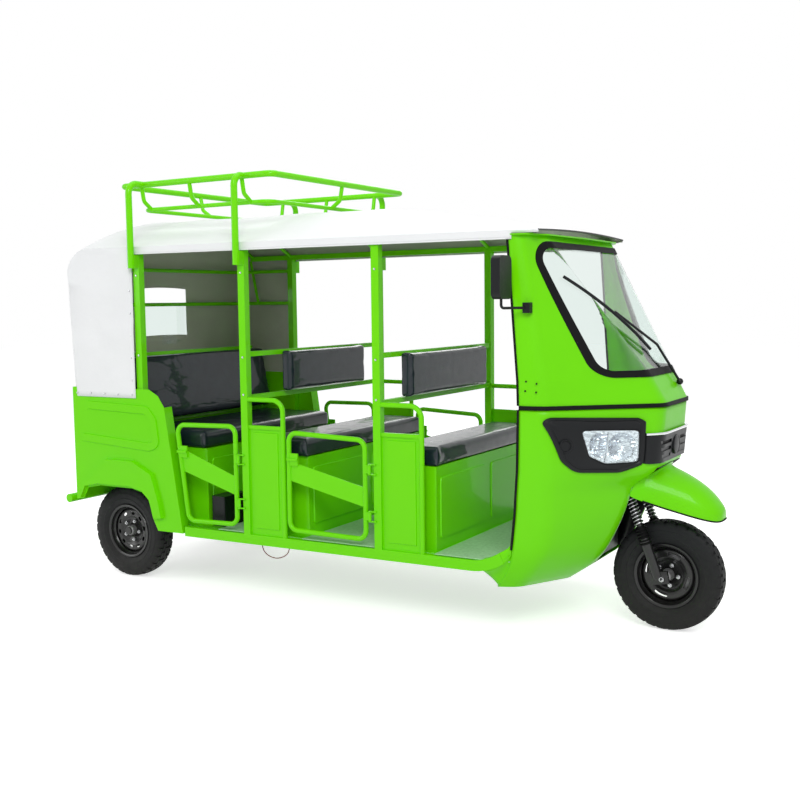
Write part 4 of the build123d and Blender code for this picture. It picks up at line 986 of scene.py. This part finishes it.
def soft_step(rows, z):
    """Rows read at any height, without overshoot between two of them."""
    z = max(rows[0][0], min(rows[-1][0], z))
    heights = [row[0] for row in rows]
    i = max(0, min(len(rows) - 2, sum(h <= z for h in heights) - 1))
    gap = heights[i + 1] - heights[i]
    share = (z - heights[i]) / gap
    found = []
    for k in range(1, len(rows[0])):
        slopes = [(rows[j + 1][k] - rows[j][k]) / (heights[j + 1] - heights[j])
                  for j in range(len(rows) - 1)]

        def tangent(j):
            if j == 0 or j == len(rows) - 1:
                return slopes[min(j, len(slopes) - 1)]
            before, after = slopes[j - 1], slopes[j]
            return 0.0 if before * after <= 0 else 2 * before * after / (before + after)

        a, b = rows[i][k], rows[i + 1][k]
        m0, m1 = tangent(i) * gap, tangent(i + 1) * gap
        s2, s3 = share ** 2, share ** 3
        found.append(a * (2 * s3 - 3 * s2 + 1) + m0 * (s3 - 2 * s2 + share)
                     + b * (3 * s2 - 2 * s3) + m1 * (s3 - s2))
    return found


def round_corner(before, corner, after, radius, count=8):
    """Points of the arc that rounds one corner of an outline."""
    into, out = (before - corner).normalized(), (after - corner).normalized()
    half = into.angle(out) / 2
    reach = radius / tan(half)
    middle = corner + (into + out).normalized() * radius / sin(half)
    first, last = corner + into * reach - middle, corner + out * reach - middle
    return [middle + first.slerp(last, i / count).normalized() * first.length
            for i in range(count + 1)]


def cab_outline(z, out=0.0):
    """Right side then left side of the shell in plan, from door to door."""
    x0, w0, x1, w1, r1, x2, w2, r2 = soft_step(CAB_ROWS, z)
    rear, corner, nose = Vector((x0, -w0, z)), Vector((x1, -w1, z)), Vector((x2, -w2, z))
    middle = Vector((x2, 0, z))
    first = round_corner(rear, corner, nose, r1)
    second = round_corner(corner, nose, middle, r2)
    side = [rear.lerp(first[0], i / 6) for i in range(6)] + first[:-1]
    side += [first[-1].lerp(second[0], i / 14) for i in range(14)] + second[:-1]
    side += [second[-1].lerp(middle, i / 5) for i in range(5)]
    line = side + [middle] + [Vector((p.x, -p.y, p.z)) for p in reversed(side)]
    if not out:
        return line
    moved = []
    for i, point in enumerate(line):
        along = line[min(i + 1, len(line) - 1)] - line[max(i - 1, 0)]
        moved.append(point + Vector((along.y, -along.x, 0)).normalized() * out)
    return moved


def on_cab(y, z, out=0.0):
    """Place on the shell that is straight ahead of a point (y, z)."""
    line = cab_outline(z)
    for a, b in zip(line, line[1:]):
        if a.y <= y <= b.y and b.y > a.y:
            spot = a.lerp(b, (y - a.y) / (b.y - a.y))
            along = (b - a).normalized()
            return spot + Vector((along.y, -along.x, 0)) * out
    return line[len(line) // 2] + Vector((out, 0, 0))


# %% Lamp and grille outlines
LENS = [(-0.446, 0.972), (-0.268, 0.965), (-0.266, 0.826), (-0.372, 0.824), (-0.424, 0.860)]
LENS_ROUNDS = [0.012, 0.014, 0.018, 0.030, 0.022]
BEZEL = [(-0.557, 1.036), (-0.268, 1.022), (-0.2465, 1.006), (-0.2465, 0.812), (-0.320, 0.778),
         (-0.470, 0.788), (-0.514, 0.842), (-0.555, 1.004)]
BEZEL_ROUNDS = [0.022, 0.010, 0.010, 0.020, 0.045, 0.060, 0.060, 0.020]
LAMP_INNER, LAMP_LOW, LAMP_TOP = 0.268, 0.8255, 0.967      # the opening behind each lens
GRILLE_HALF = 0.246


def rounded_outline(corners, radii, count=96):
    """Even points round a polygon with rounded corners, from its outer side."""
    points = []
    spots = [Vector((0, y, z)) for y, z in corners]
    for i, corner in enumerate(spots):
        points += round_corner(spots[i - 1], corner, spots[(i + 1) % len(spots)], radii[i], 6)
    middle = sum(points, Vector()) / len(points)
    closed = points + [points[0]]
    run = [0.0]
    for a, b in zip(closed, closed[1:]):
        run.append(run[-1] + (b - a).length)
    even, k = [], 0
    for i in range(count):
        goal = run[-1] * i / count
        while run[k + 1] < goal:
            k += 1
        share = (goal - run[k]) / max(1e-9, run[k + 1] - run[k])
        even.append(closed[k].lerp(closed[k + 1], share))
    start = min(range(count), key=lambda i: abs(atan2(even[i].z - middle.z, middle.y - even[i].y)))
    even = even[start:] + even[:start]
    return even, middle


def inside_outline(y, z, corners):
    hit = False
    for (y0, z0), (y1, z1) in zip(corners, corners[1:] + corners[:1]):
        if (z0 > z) != (z1 > z) and y < (y1 - y0) * (z - z0) / (z1 - z0) + y0:
            hit = not hit
    return hit


print("lens corners:", len(LENS), "bezel corners:", len(BEZEL))

# %% Cab shell
def make_cab_shell():
    work = bmesh.new()
    heights = [0.240 + 0.030 * i for i in range(18)] + [0.770 + 0.0247 * i for i in range(13)]
    heights = sorted(set(round(h, 4) for h in heights if h < WAIST - 0.004)) + [WAIST]
    turned_in = [Vector((p.x - 0.018, p.y * 0.94, p.z - 0.004)) for p in cab_outline(0.240)]
    chains = bridge_sections(work, [turned_in] + [cab_outline(z) for z in heights])
    low = chains[0]
    ends = [v for e in low for v in e.verts if len(v.link_edges) == 2]
    closing = [work.edges.new(ends)] if len(ends) == 2 and not work.edges.get(ends) else []
    bmesh.ops.contextual_create(work, geom=low + closing)
    slice_box(work, (-LAMP_INNER, -WELL_HALF, WELL_HALF, LAMP_INNER), 1)
    slice_box(work, (WELL_TOP, LAMP_LOW, LAMP_TOP), 2)
    gone = []
    for face in work.faces:
        spot = face.calc_center_median()
        well = abs(spot.y) < WELL_HALF and spot.z < WELL_TOP and spot.x > WELL_REAR
        near_lamp = abs(spot.y) > LAMP_INNER and LAMP_LOW < spot.z < LAMP_TOP and spot.x > 1.1
        lamp = near_lamp and any(inside_outline(-abs(v.co.y) * 0.999, v.co.z, LENS)
                                 for v in face.verts)
        if well or lamp:
            gone.append(face)
    bmesh.ops.delete(work, geom=gone, context="FACES")
    close_up(work)
    shell = make_piece("cab_shell", work, lime_paint, sharp=40)
    add_modifier(shell, "SOLIDIFY", thickness=0.004, offset=-1.0)
    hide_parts("cab_lower")
    return shell


def make_wheel_well():
    """The box that the front wheel steers in, with the tube of the steering head."""
    work = bmesh.new()
    heights = steps(0.330, WELL_TOP, 16)
    for side in (-WELL_HALF, WELL_HALF):
        front = [on_cab(side * 0.98, z, -0.001) for z in heights]
        front = [Vector((p.x, side, p.z)) for p in front]
        bridge_sections(work, [[Vector((WELL_REAR, side, z)) for z in heights], front])
    across = steps(-WELL_HALF, WELL_HALF, 8)
    rear = [Vector((WELL_REAR, y, WELL_TOP)) for y in across]
    nose = [Vector((on_cab(y * 0.98, WELL_TOP, -0.001).x, y, WELL_TOP)) for y in across]
    bridge_sections(work, [[Vector((WELL_REAR, y, 0.330)) for y in across], rear, nose])
    close_up(work)
    well = make_piece("wheel_well", work, black_plastic, sharp=40)
    add_modifier(well, "SOLIDIFY", thickness=0.003, offset=0.0)
    head = bmesh.new()
    spin_profile(head, [(0.177, 0.0235), (0.177, 0.036), (0.347, 0.036), (0.347, 0.0235)], 40,
                 closed=True, axis=(0, 0, 1))
    close_up(head)
    move_to(head, fork_frame())
    make_piece("steering_head", head, black_enamel)


cab_shell = make_cab_shell()
make_wheel_well()
print("cab shell faces:", len(cab_shell.data.polygons))

# %% [markdown]
# ## The front mudguard
# The mudguard is a broad beak with a soft ridge, a turned-down skirt and a
# black rubber edge. Its sections are bridged from the cab to the tip, and the
# rubber is a thin bar along the lower edge.

# %% Mudguard
GUARD_ROWS = [
    # x, half width, lower edge, ridge
    (1.335, 0.188, 0.651, 0.788), (1.410, 0.173, 0.627, 0.789),
    (1.489, 0.154, 0.602, 0.770), (1.550, 0.142, 0.586, 0.745),
    (1.605, 0.130, 0.571, 0.716), (1.650, 0.116, 0.559, 0.686),
    (1.688, 0.098, 0.549, 0.652), (1.714, 0.078, 0.543, 0.622),
    (1.731, 0.052, 0.541, 0.600), (1.738, 0.024, 0.543, 0.585)]
SKIRT = 0.016


def guard_section(x, half, low, top):
    """From the right lower edge over the ridge to the left one."""
    points = [Vector((x, -half, low)), Vector((x, -half * 0.995, low + SKIRT * 0.5)),
              Vector((x, -half * 0.985, low + SKIRT))]
    rise = top - low - SKIRT
    for i in range(1, 9):
        turn = pi / 2 * i / 8
        y = -half * 0.985 * cos(turn) ** 0.92
        points.append(Vector((x, y, low + SKIRT + rise * sin(turn) ** 0.86)))
    points[-1].z += 0.002
    return points + [Vector((p.x, -p.y, p.z)) for p in reversed(points[:-1])]


def make_guard():
    work = bmesh.new()
    rows = []
    for before, after in zip(GUARD_ROWS, GUARD_ROWS[1:]):
        for share in (0.0, 0.5):
            x = before[0] + (after[0] - before[0]) * share
            rows.append((x, *soft_step(GUARD_ROWS, x)))
    rows.append(GUARD_ROWS[-1])
    chains = bridge_sections(work, [guard_section(*row) for row in rows])
    tip = chains[-1]
    ends = [v for e in tip for v in e.verts if sum(k in tip for k in v.link_edges) == 1]
    bmesh.ops.contextual_create(work, geom=tip + [work.edges.new(ends)])
    for vert in work.verts:      # nothing behind the shell's own skin
        if vert.co.x < 1.52:
            wall = on_cab(max(-0.5, min(0.5, vert.co.y)), vert.co.z, 0.0005).x
            vert.co.x = max(vert.co.x, wall)
    close_up(work)
    guard = make_piece("mudguard_skin", work, lime_paint, sharp=50)
    add_modifier(guard, "SOLIDIFY", thickness=0.003, offset=-1.0)
    add_modifier(guard, "SUBSURF", levels=1, render_levels=1)
    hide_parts("front_mudguard")
    edge = [Vector((row[0], -row[1], row[2] + 0.002)) for row in GUARD_ROWS if row[0] > 1.34]
    edge = edge + [Vector((p.x, -p.y, p.z)) for p in reversed(edge)]
    trim = lay_line("mudguard_edge", edge, 0.0038)
    trim.data.materials.append(black_rubber)


make_guard()
print("mudguard sections:", 2 * len(GUARD_ROWS) - 1)

# %% [markdown]
# ## Headlamps
# Each lamp sits in a dished black panel. Rings of the same outline, moved in
# and out from the shell, give the panel its chamfer and its recess. The lens
# is a clear cover over two bright reflector bowls with a bar between them.

# %% Lamps
def on_side(place, turn):
    """The same place on the right side (turn 1) or mirrored to the left (-1)."""
    return Vector((place.x, place.y * turn, place.z))


def ring_on_cab(points, middle, grow, out, turn=1):
    """One ring of an outline, grown or shrunk, at a distance from the shell."""
    ring = []
    for point in points:
        away = (point - middle).normalized()
        spot = point + away * grow
        ring.append(on_side(on_cab(spot.y, spot.z, out), turn))
    return ring


def make_bezel(name, turn):
    outer, outer_middle = rounded_outline(BEZEL, BEZEL_ROUNDS)
    inner, inner_middle = rounded_outline(LENS, LENS_ROUNDS)
    work = bmesh.new()
    sections = [ring_on_cab(outer, outer_middle, 0.0, 0.0005, turn),
                ring_on_cab(outer, outer_middle, 0.0, 0.0085, turn),
                ring_on_cab(outer, outer_middle, -0.004, 0.0130, turn),
                ring_on_cab(outer, outer_middle, -0.013, 0.0135, turn),
                ring_on_cab(outer, outer_middle, -0.018, 0.0085, turn)]
    for share in (0.2, 0.4, 0.6, 0.8):
        mixed = [a.lerp(b, share) for a, b in
                 zip([p - (p - outer_middle).normalized() * 0.018 for p in outer],
                     [p + (p - inner_middle).normalized() * 0.010 for p in inner])]
        sections.append([on_side(on_cab(p.y, p.z, 0.0080), turn) for p in mixed])
    sections += [ring_on_cab(inner, inner_middle, 0.0075, 0.0085, turn),
                 ring_on_cab(inner, inner_middle, 0.0045, 0.0120, turn),
                 ring_on_cab(inner, inner_middle, 0.0015, 0.0115, turn),
                 ring_on_cab(inner, inner_middle, 0.0005, -0.0040, turn)]
    bridge_sections(work, sections, closed=True)
    close_up(work)
    return make_piece(name, work, black_plastic, sharp=32)


def make_lens(name, turn):
    inner, middle = rounded_outline(LENS, LENS_ROUNDS)
    work = bmesh.new()
    sections = []
    for share, out in ((1.0, 0.0085), (0.97, 0.0105), (0.85, 0.0115), (0.6, 0.0120), (0.3, 0.0122),
                       (0.08, 0.0122)):
        ring = []
        for point in inner:
            spot = middle + (point - middle) * share
            ring.append(on_side(on_cab(spot.y, spot.z, out), turn))
        sections.append(ring)
    chains = bridge_sections(work, sections, closed=True)
    bmesh.ops.contextual_create(work, geom=chains[-1])
    close_up(work)
    lens = make_piece(name, work, lens_glass, sharp=60)
    add_modifier(lens, "SOLIDIFY", thickness=0.0015, offset=-1.0)
    return lens


def bowl_depth(y, z):
    """How deep the reflector is: two bowls with a bar between them."""
    deep = 0.0
    for by, bz, wide, high in ((-0.318, 0.896, 0.046, 0.062), (-0.392, 0.905, 0.030, 0.054)):
        away = ((y - by) / wide) ** 2 + ((z - bz) / high) ** 2
        if away < 1:
            deep = max(deep, 0.055 * (1 - away))
            if away < 0.05:
                deep -= 0.022
    return deep


def make_reflector(name, turn):
    inner, middle = rounded_outline(LENS, LENS_ROUNDS)
    work = bmesh.new()
    sections = []
    for i in range(22):
        share = 1 - i / 22
        ring = []
        for point in inner:
            spot = middle + (point - middle) * share * 1.01
            facet = 0.0022 * (int(atan2(spot.z - 0.90, spot.y + 0.33) * 9) % 2)
            deep = bowl_depth(spot.y, spot.z) + facet * (share < 0.97)
            ring.append(on_side(on_cab(spot.y, spot.z, 0.003 - deep), turn))
        sections.append(ring)
    chains = bridge_sections(work, sections, closed=True)
    bmesh.ops.contextual_create(work, geom=chains[-1])
    close_up(work)
    reflector = make_piece(name, work, mirror_bowl, sharp=25)
    bar = [on_cab(-0.362 - 0.010 * k, 0.962 - 0.132 * k, 0.0065) for k in (0, 0.35, 0.7, 1)]
    divider = lay_line(name + "_divider", [on_side(p, turn) for p in bar], 0.0032)
    divider.data.materials.append(chrome)


bezels = [make_bezel("lamp_panel_right", 1), make_bezel("lamp_panel_left", -1)]
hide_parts("headlamp_bezels")
lenses = [make_lens("lamp_cover_right", 1), make_lens("lamp_cover_left", -1)]
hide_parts("headlamp_lenses")
make_reflector("lamp_bowls_right", 1)
make_reflector("lamp_bowls_left", -1)
print("bezel faces:", len(bezels[0].data.polygons))

# %% Blind lamp plugs, grille and badge
def make_front_fittings():
    plugs, backing, badge = bmesh.new(), bmesh.new(), bmesh.new()
    for turn in (-1, 1):
        face = on_cab(-0.499, 0.908, 0.0085)
        ahead = (on_cab(-0.499, 0.908, 0.05) - face).normalized()
        ring = bmesh.new()
        spin_profile(ring, [(-0.004, 0.0), (-0.004, 0.020), (0.001, 0.0225), (0.0045, 0.0255),
                            (0.0045, 0.0295), (0.0, 0.0320)], 40, axis=(0, 0, 1))
        close_up(ring)
        place = Matrix.Translation((face.x, face.y * turn * -1, face.z))
        ahead = Vector((ahead.x, -ahead.y * turn, 0))
        move_to(ring, place @ ahead.to_track_quat("Z", "Y").to_matrix().to_4x4())
        mesh = bpy.data.meshes.new("ring")
        ring.to_mesh(mesh)
        plugs.from_mesh(mesh)
        bpy.data.meshes.remove(mesh)
        ring.free()
    make_piece("blind_plugs", plugs, black_plastic, sharp=30)
    rows = [[on_cab(y, z, 0.0025) for y in steps(-GRILLE_HALF, GRILLE_HALF, 24)]
            for z in steps(0.814, 0.944, 6)]
    bridge_sections(backing, rows)
    close_up(backing)
    make_piece("grille_backing", backing, black_rubber)
    strip_run = [on_cab(y, 0.947, 0.0125) for y in steps(-GRILLE_HALF, GRILLE_HALF, 14)]
    strip = lay_line("grille_strip", strip_run, 0.0062)
    strip.data.materials.append(chrome)
    spin_profile(badge, [(-0.004, 0.046), (0.005, 0.046), (0.008, 0.043), (0.0065, 0.039),
                         (0.0085, 0.030), (0.0095, 0.0)], 48, axis=(0, 0, 1))
    close_up(badge)
    spot = on_cab(0.0, 0.878, 0.010)
    move_to(badge, Matrix.Translation(spot) @ Matrix.Rotation(pi / 2, 4, "Y"))
    make_piece("blank_badge", badge, black_plastic, sharp=30)


make_front_fittings()
print("front fittings made")

# %% [markdown]
# ## Where the sill meets the cab
# The sill sweeps up into the end of the cab's rubber trim, and a curved
# gusset closes the corner below it. The tip is a short bar bridged through
# four sections. The gusset is a sheet between two edges, a little hollow.

# %% Sill tips and gussets
SILL_TOP = [(0.8825, 0.4142), (0.899, 0.423), (0.918, 0.436), (0.936, 0.457)]
SILL_LOW = [(0.9045, 0.3662), (0.915, 0.378), (0.925, 0.390), (0.933, 0.405)]
UNDER_SILL = [(0.800, 0.324), (0.835, 0.329), (0.866, 0.342), (0.899, 0.370), (0.9285, 0.408)]
CAB_EDGE = [0.243, 0.270, 0.300, 0.332, 0.400]
TIP_DEEP = 0.032


def make_sill_corner(name, turn):
    tip = bmesh.new()
    sections = []
    for k, ((x_top, z_top), (x_low, z_low)) in enumerate(zip(SILL_TOP, SILL_LOW)):
        share = k / 3
        half = half_at(x_low) * (1 - share) + (-cab_outline(z_low)[0].y + 0.002) * share
        sections.append([(x_top, turn * half, z_top), (x_low, turn * half, z_low),
                         (x_low, turn * (half - TIP_DEEP), z_low),
                         (x_top, turn * (half - TIP_DEEP), z_top)])
    chains = bridge_sections(tip, sections, closed=True)
    for chain in (chains[0], chains[-1]):
        bmesh.ops.contextual_create(tip, geom=chain)
    close_up(tip)
    soften(tip, 0.003)
    make_piece("sill_tip_" + name, tip, lime_paint)
    gusset = bmesh.new()
    upper = [Vector((x, turn * (half_at(x) - 0.003), z)) for x, z in UNDER_SILL]
    lower = []
    for z in CAB_EDGE:
        edge = cab_outline(z)[0]
        lower.append(Vector((edge.x + 0.003, turn * (-edge.y - 0.003), z)))
    rows = []
    for i in range(7):
        share = i / 6
        hollow = 0.010 * sin(pi * share)
        rows.append([a.lerp(b, share) - Vector((0, turn * hollow, 0))
                     for a, b in zip(upper, lower)])
    bridge_sections(gusset, rows)
    bmesh.ops.subdivide_edges(gusset, edges=gusset.edges[:], cuts=1, use_grid_fill=True,
                              smooth=0.4)
    close_up(gusset)
    if gusset.faces[:][0].normal.y * turn < 0:
        bmesh.ops.reverse_faces(gusset, faces=gusset.faces[:])
    skin = make_piece("corner_gusset_" + name, gusset, lime_paint, sharp=60)
    add_modifier(skin, "SOLIDIFY", thickness=0.003, offset=-1.0)


make_sill_corner("right", -1)
make_sill_corner("left", 1)
print("gusset rows:", 7)

# %% [markdown]
# ## Floor mats
# A pale, streaky mat covers the floor from sill to sill. In the cab it narrows
# with the shell. Each mat is a thin bar bridged along the car, and its edge
# stops just inside the sill so that a bright line of paint is left.

# %% Mats
MAT_LOW, MAT_TOP = 0.3685, 0.3735
MAT_RUNS = {
    "mat_rear": [(-0.705, 0.012), (-0.600, 0.012), (-0.495, 0.012)],
    "mat_middle": [(-0.182, 0.012), (0.030, 0.012), (0.245, 0.012)],
    "mat_cab": [(0.552, 0.012), (0.700, 0.012), (0.850, 0.012), (0.905, 0.022), (0.950, 0.034),
                (1.000, 0.072), (1.045, 0.130), (1.090, 0.190)],
}


def make_mat(name, run):
    work = bmesh.new()
    sections = []
    for x, inset in run:
        half = half_at(x) - inset
        sections.append([(x, -half, MAT_LOW), (x, -half, MAT_TOP), (x, half, MAT_TOP),
                         (x, half, MAT_LOW)])
    chains = bridge_sections(work, sections, closed=True)
    for chain in (chains[0], chains[-1]):
        bmesh.ops.contextual_create(work, geom=chain)
    close_up(work)
    soften(work, 0.0015, segments=1)
    return make_piece(name, work, floor_rubber)


mats = [make_mat(name, run) for name, run in MAT_RUNS.items()]
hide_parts("floor_mats")
print("mats:", [mat.name for mat in mats])

# %% [markdown]
# ## Seats in their clear film
# Each seat is a foam block under black vinyl, wrapped in clear film. The CAD
# block is shrunk a little, remeshed finely and blown up as cloth, so its sides
# swell and its skin creases.

# %% Cushions
PAD_ROWS = {
    # name: voxel size, how far a point may move
    "cushion_driver": (0.011, 0.012), "cushion_middle": (0.012, 0.012),
    "cushion_rear": (0.014, 0.012), "backrest_middle": (0.009, 0.008),
    "backrest_driver": (0.009, 0.008), "backrest_rear": (0.014, 0.010)}


def start_pad(name):
    """A clean, slightly smaller copy of the CAD block."""
    work = bmesh.new()
    work.from_mesh(nodes[name].data)
    bmesh.ops.remove_doubles(work, verts=work.verts[:], dist=1e-5)
    low, high = (Vector(corner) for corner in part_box(name))
    middle = (low + high) / 2
    for vert in work.verts:
        for axis in range(3):
            half = (high[axis] - low[axis]) / 2
            share = (half - 0.005) / half
            vert.co[axis] = middle[axis] + (vert.co[axis] - middle[axis]) * share
    bmesh.ops.recalc_face_normals(work, faces=work.faces[:])
    return work, low, high


def evaluate(piece):
    """Apply all modifiers of a piece."""
    graph = bpy.context.evaluated_depsgraph_get()
    mesh = bpy.data.meshes.new_from_object(piece.evaluated_get(graph))
    piece.modifiers.clear()
    old = piece.data
    piece.data = mesh
    bpy.data.meshes.remove(old)


def ruck(place, scale=1.0):
    """Long shallow creases of the film."""
    slope = Vector((place.x * 3.0, place.y * 1.4, place.z * 3.0)) * scale
    wave = noise.noise(slope * 1.7) * 0.5 + noise.noise(slope * 3.9) * 0.3
    return wave + 0.35 * (1 - abs(noise.noise(slope * 2.6 + Vector((3, 7, 1))) * 2.2))


def make_cushion(name, voxel, cap):
    work, low, high = start_pad(name)
    pad = make_piece("pad_" + name, work, seat_vinyl)
    add_modifier(pad, "REMESH", mode="VOXEL", voxel_size=voxel)
    evaluate(pad)
    start = [vert.co.copy() for vert in pad.data.vertices]
    cloth = pad.modifiers.new("cloth", "CLOTH")
    cloth.settings.use_pressure = True
    cloth.settings.uniform_pressure_force = 4.0
    cloth.settings.tension_stiffness = 12
    cloth.settings.compression_stiffness = 6
    cloth.settings.bending_stiffness = 0.8
    cloth.settings.effector_weights.gravity = 0.0
    for step in range(1, 17):
        bpy.context.scene.frame_set(step)
    evaluate(pad)
    bpy.context.scene.frame_set(1)
    moved = 0.0
    for vert, first in zip(pad.data.vertices, start):
        shift = vert.co - first
        if shift.length > cap:
            shift = shift.normalized() * cap
        place = first + shift
        out = vert.normal
        place += out * 0.0022 * ruck(place)
        for axis in range(3):        # the pad keeps to the space of its block
            place[axis] = max(low[axis] + 0.0004, min(high[axis] - 0.0004, place[axis]))
        moved = max(moved, (place - first).length)
        vert.co = place
    pad.data.materials.clear()
    pad.data.materials.append(seat_vinyl)
    pad.data.shade_smooth()
    add_modifier(pad, "SUBSURF", levels=1, render_levels=1)
    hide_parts(name)
    return moved


for name, (voxel, cap) in PAD_ROWS.items():
    print(name, "moved at most", round(make_cushion(name, voxel, cap) * 1000, 1), "mm")

# %% [markdown]
# ## Piping, snaps and screws
# The canopy's front edge is bound in black, its curtain is held by a row of
# snaps, and five screws hold the peak. These are small repeated shapes, so one
# mesh holds each kind, and a short list says where they sit.

# %% Canopy trim and fasteners
def canopy_edge(x, lift=0.0):
    """Front edge of the canopy from right to left, over the crown."""
    half = canopy_half(x)
    crown = crown_at(x)
    points = []
    for share in steps(-1.0, 1.0, 28):
        points.append(Vector((x, half * share,
                              ARCH_FOOT + (crown - ARCH_FOOT) * (1 - share ** 2) + lift)))
    return points


def make_trim():
    binding = lay_line("canopy_binding", canopy_edge(CANOPY_FRONT - 0.001, -0.001), 0.0042)
    binding.data.materials.append(canopy_binding)
    for turn in (-1, 1):
        hem = [Vector((x, turn * (half_at(x) + CANOPY_OUT - 0.001), VALANCE_LOW + 0.002))
               for x in steps(CURTAIN_FRONT + 0.004, LIP_RUN[0] - 0.002, 16)]
        line = lay_line("valance_hem" + ("_left" if turn > 0 else "_right"), hem, 0.0026)
        line.data.materials.append(canopy_white)
    snaps = bmesh.new()
    for turn in (-1, 1):
        for x in steps(-1.640, -1.240, 4):
            add_bolt(snaps, (x, turn * (half_at(x) + CANOPY_OUT), CURTAIN_LOW + 0.018),
                     (0, turn, 0), 0.0065, 0.0035, 12)
        for z in steps(1.14, 1.74, 5):
            side = turn * (half_at(CURTAIN_FRONT) + CANOPY_OUT)
            add_bolt(snaps, (CURTAIN_FRONT - 0.020, side, z), (0, turn, 0), 0.0055, 0.003, 12)
    for y in steps(-0.60, 0.60, 8):
        add_bolt(snaps, (CANOPY_REAR, y, CURTAIN_LOW + 0.018), (-1, 0, 0), 0.0065, 0.0035, 12)
    soften(snaps, 0.0008)
    make_piece("canopy_snaps", snaps, bright_steel)
    screws = bmesh.new()
    for y in (-0.526, -0.278, 0.0, 0.278, 0.526):
        x = 1.0745 - 0.030 * (abs(y) / 0.43) ** 2 * 0.43
        add_bolt(screws, (x - 0.022, y, 1.8362), (0, 0, 1), 0.008, 0.004, 14)
    for turn in (-1, 1):
        for post_x in (X_POST1, X_POST2, X_POST3):
            for z in (1.085, 1.275, 1.700):
                spot = side_frame(post_x, z, 0.0, turn)
                out = Vector((sin(SIDE_TURN), turn * cos(SIDE_TURN), 0))
                add_bolt(screws, spot.translation, out, 0.0068, 0.0035, 6)
    soften(screws, 0.0006)
    make_piece("body_screws", screws, bright_steel)
    rivets = bmesh.new()
    for turn in (-1, 1):
        for x, z in ((1.012, 1.192), (1.062, 1.184), (1.008, 1.150), (1.060, 1.146)):
            place = Vector((x, turn * 0.5705, z))
            add_bolt(rivets, place, (0.10, turn, 0), 0.0045, 0.003, 10)
    make_piece("cab_rivets", rivets, black_rubber)


make_trim()
print("trim and fasteners made")

# %% [markdown]
# ## Floor, backdrop and light
# A studio wraps the object in soft light from large panels. The floor shows
# pure white to the camera, keeps a soft contact shadow, and stays a plain
# pale surface for the light that it bounces up.

# %% Studio
def make_floor_material():
    material, tree, shader = new_material("studio_floor", Roughness=0.9, Specular_IOR_Level=0.1)
    shader.inputs["Base Color"].default_value = (0.86, 0.86, 0.86, 1)
    seen = tree.nodes.new("ShaderNodeLightPath")
    glow = tree.nodes.new("ShaderNodeEmission")
    glow.inputs["Strength"].default_value = 0.62
    total = tree.nodes.new("ShaderNodeAddShader")
    pick = tree.nodes.new("ShaderNodeMixShader")
    mask = math_node(tree, "MAXIMUM", seen.outputs["Is Camera Ray"], seen.outputs["Is Glossy Ray"])
    mask = math_node(tree, "MAXIMUM", mask, seen.outputs["Is Transmission Ray"])
    tree.links.new(shader.outputs[0], total.inputs[0])
    tree.links.new(glow.outputs[0], total.inputs[1])
    tree.links.new(mask, pick.inputs[0])
    tree.links.new(shader.outputs[0], pick.inputs[1])
    tree.links.new(total.outputs[0], pick.inputs[2])
    tree.links.new(pick.outputs[0], tree.nodes["Material Output"].inputs["Surface"])
    return material


def make_stage():
    work = bmesh.new()
    bmesh.ops.create_grid(work, x_segments=1, y_segments=1, size=30)
    mesh = bpy.data.meshes.new("studio_floor")
    work.to_mesh(mesh)
    work.free()
    mesh.materials.append(make_floor_material())
    floor = bpy.data.objects.new("studio_floor", mesh)
    bpy.context.scene.collection.objects.link(floor)


def make_world():
    world = bpy.data.worlds.new("studio")
    bpy.context.scene.world = world
    world.use_nodes = True
    tree = world.node_tree
    soft = tree.nodes["Background"]
    soft.inputs["Color"].default_value = (1, 1, 1, 1)
    soft.inputs["Strength"].default_value = 0.42
    white = tree.nodes.new("ShaderNodeBackground")
    white.inputs["Color"].default_value = (1, 1, 1, 1)
    white.inputs["Strength"].default_value = 1.0
    seen = tree.nodes.new("ShaderNodeLightPath")
    mask = math_node(tree, "MAXIMUM", seen.outputs["Is Camera Ray"], seen.outputs["Is Glossy Ray"])
    mask = math_node(tree, "MAXIMUM", mask, seen.outputs["Is Transmission Ray"])
    pick = tree.nodes.new("ShaderNodeMixShader")
    tree.links.new(mask, pick.inputs[0])
    tree.links.new(soft.outputs[0], pick.inputs[1])
    tree.links.new(white.outputs[0], pick.inputs[2])
    tree.links.new(pick.outputs[0], tree.nodes["World Output"].inputs["Surface"])


def add_panel(name, place, target, size, power):
    light = bpy.data.lights.new(name, "AREA")
    light.shape = "RECTANGLE"
    light.size, light.size_y = size
    light.energy = power
    lamp = bpy.data.objects.new(name, light)
    bpy.context.scene.collection.objects.link(lamp)
    lamp.location = place
    lamp.rotation_mode = "QUATERNION"
    lamp.rotation_quaternion = (Vector(target) - Vector(place)).to_track_quat("-Z", "Y")


make_stage()
make_world()
panels = [("key_panel", (4.0, -6.0, 5.5), (0, 0, 0.9), (4.0, 3.0), 320),
          ("top_panel", (0.0, 0.0, 7.0), (0, 0, 0), (6.0, 4.0), 150),
          ("fill_panel", (-6.0, -5.0, 3.0), (0, 0, 1.0), (4.0, 3.0), 105),
          ("rim_panel", (-3.0, 6.5, 4.5), (0, 0, 1.0), (4.0, 3.0), 105)]
for panel in panels:
    add_panel(*panel)
print("panels:", len(panels))
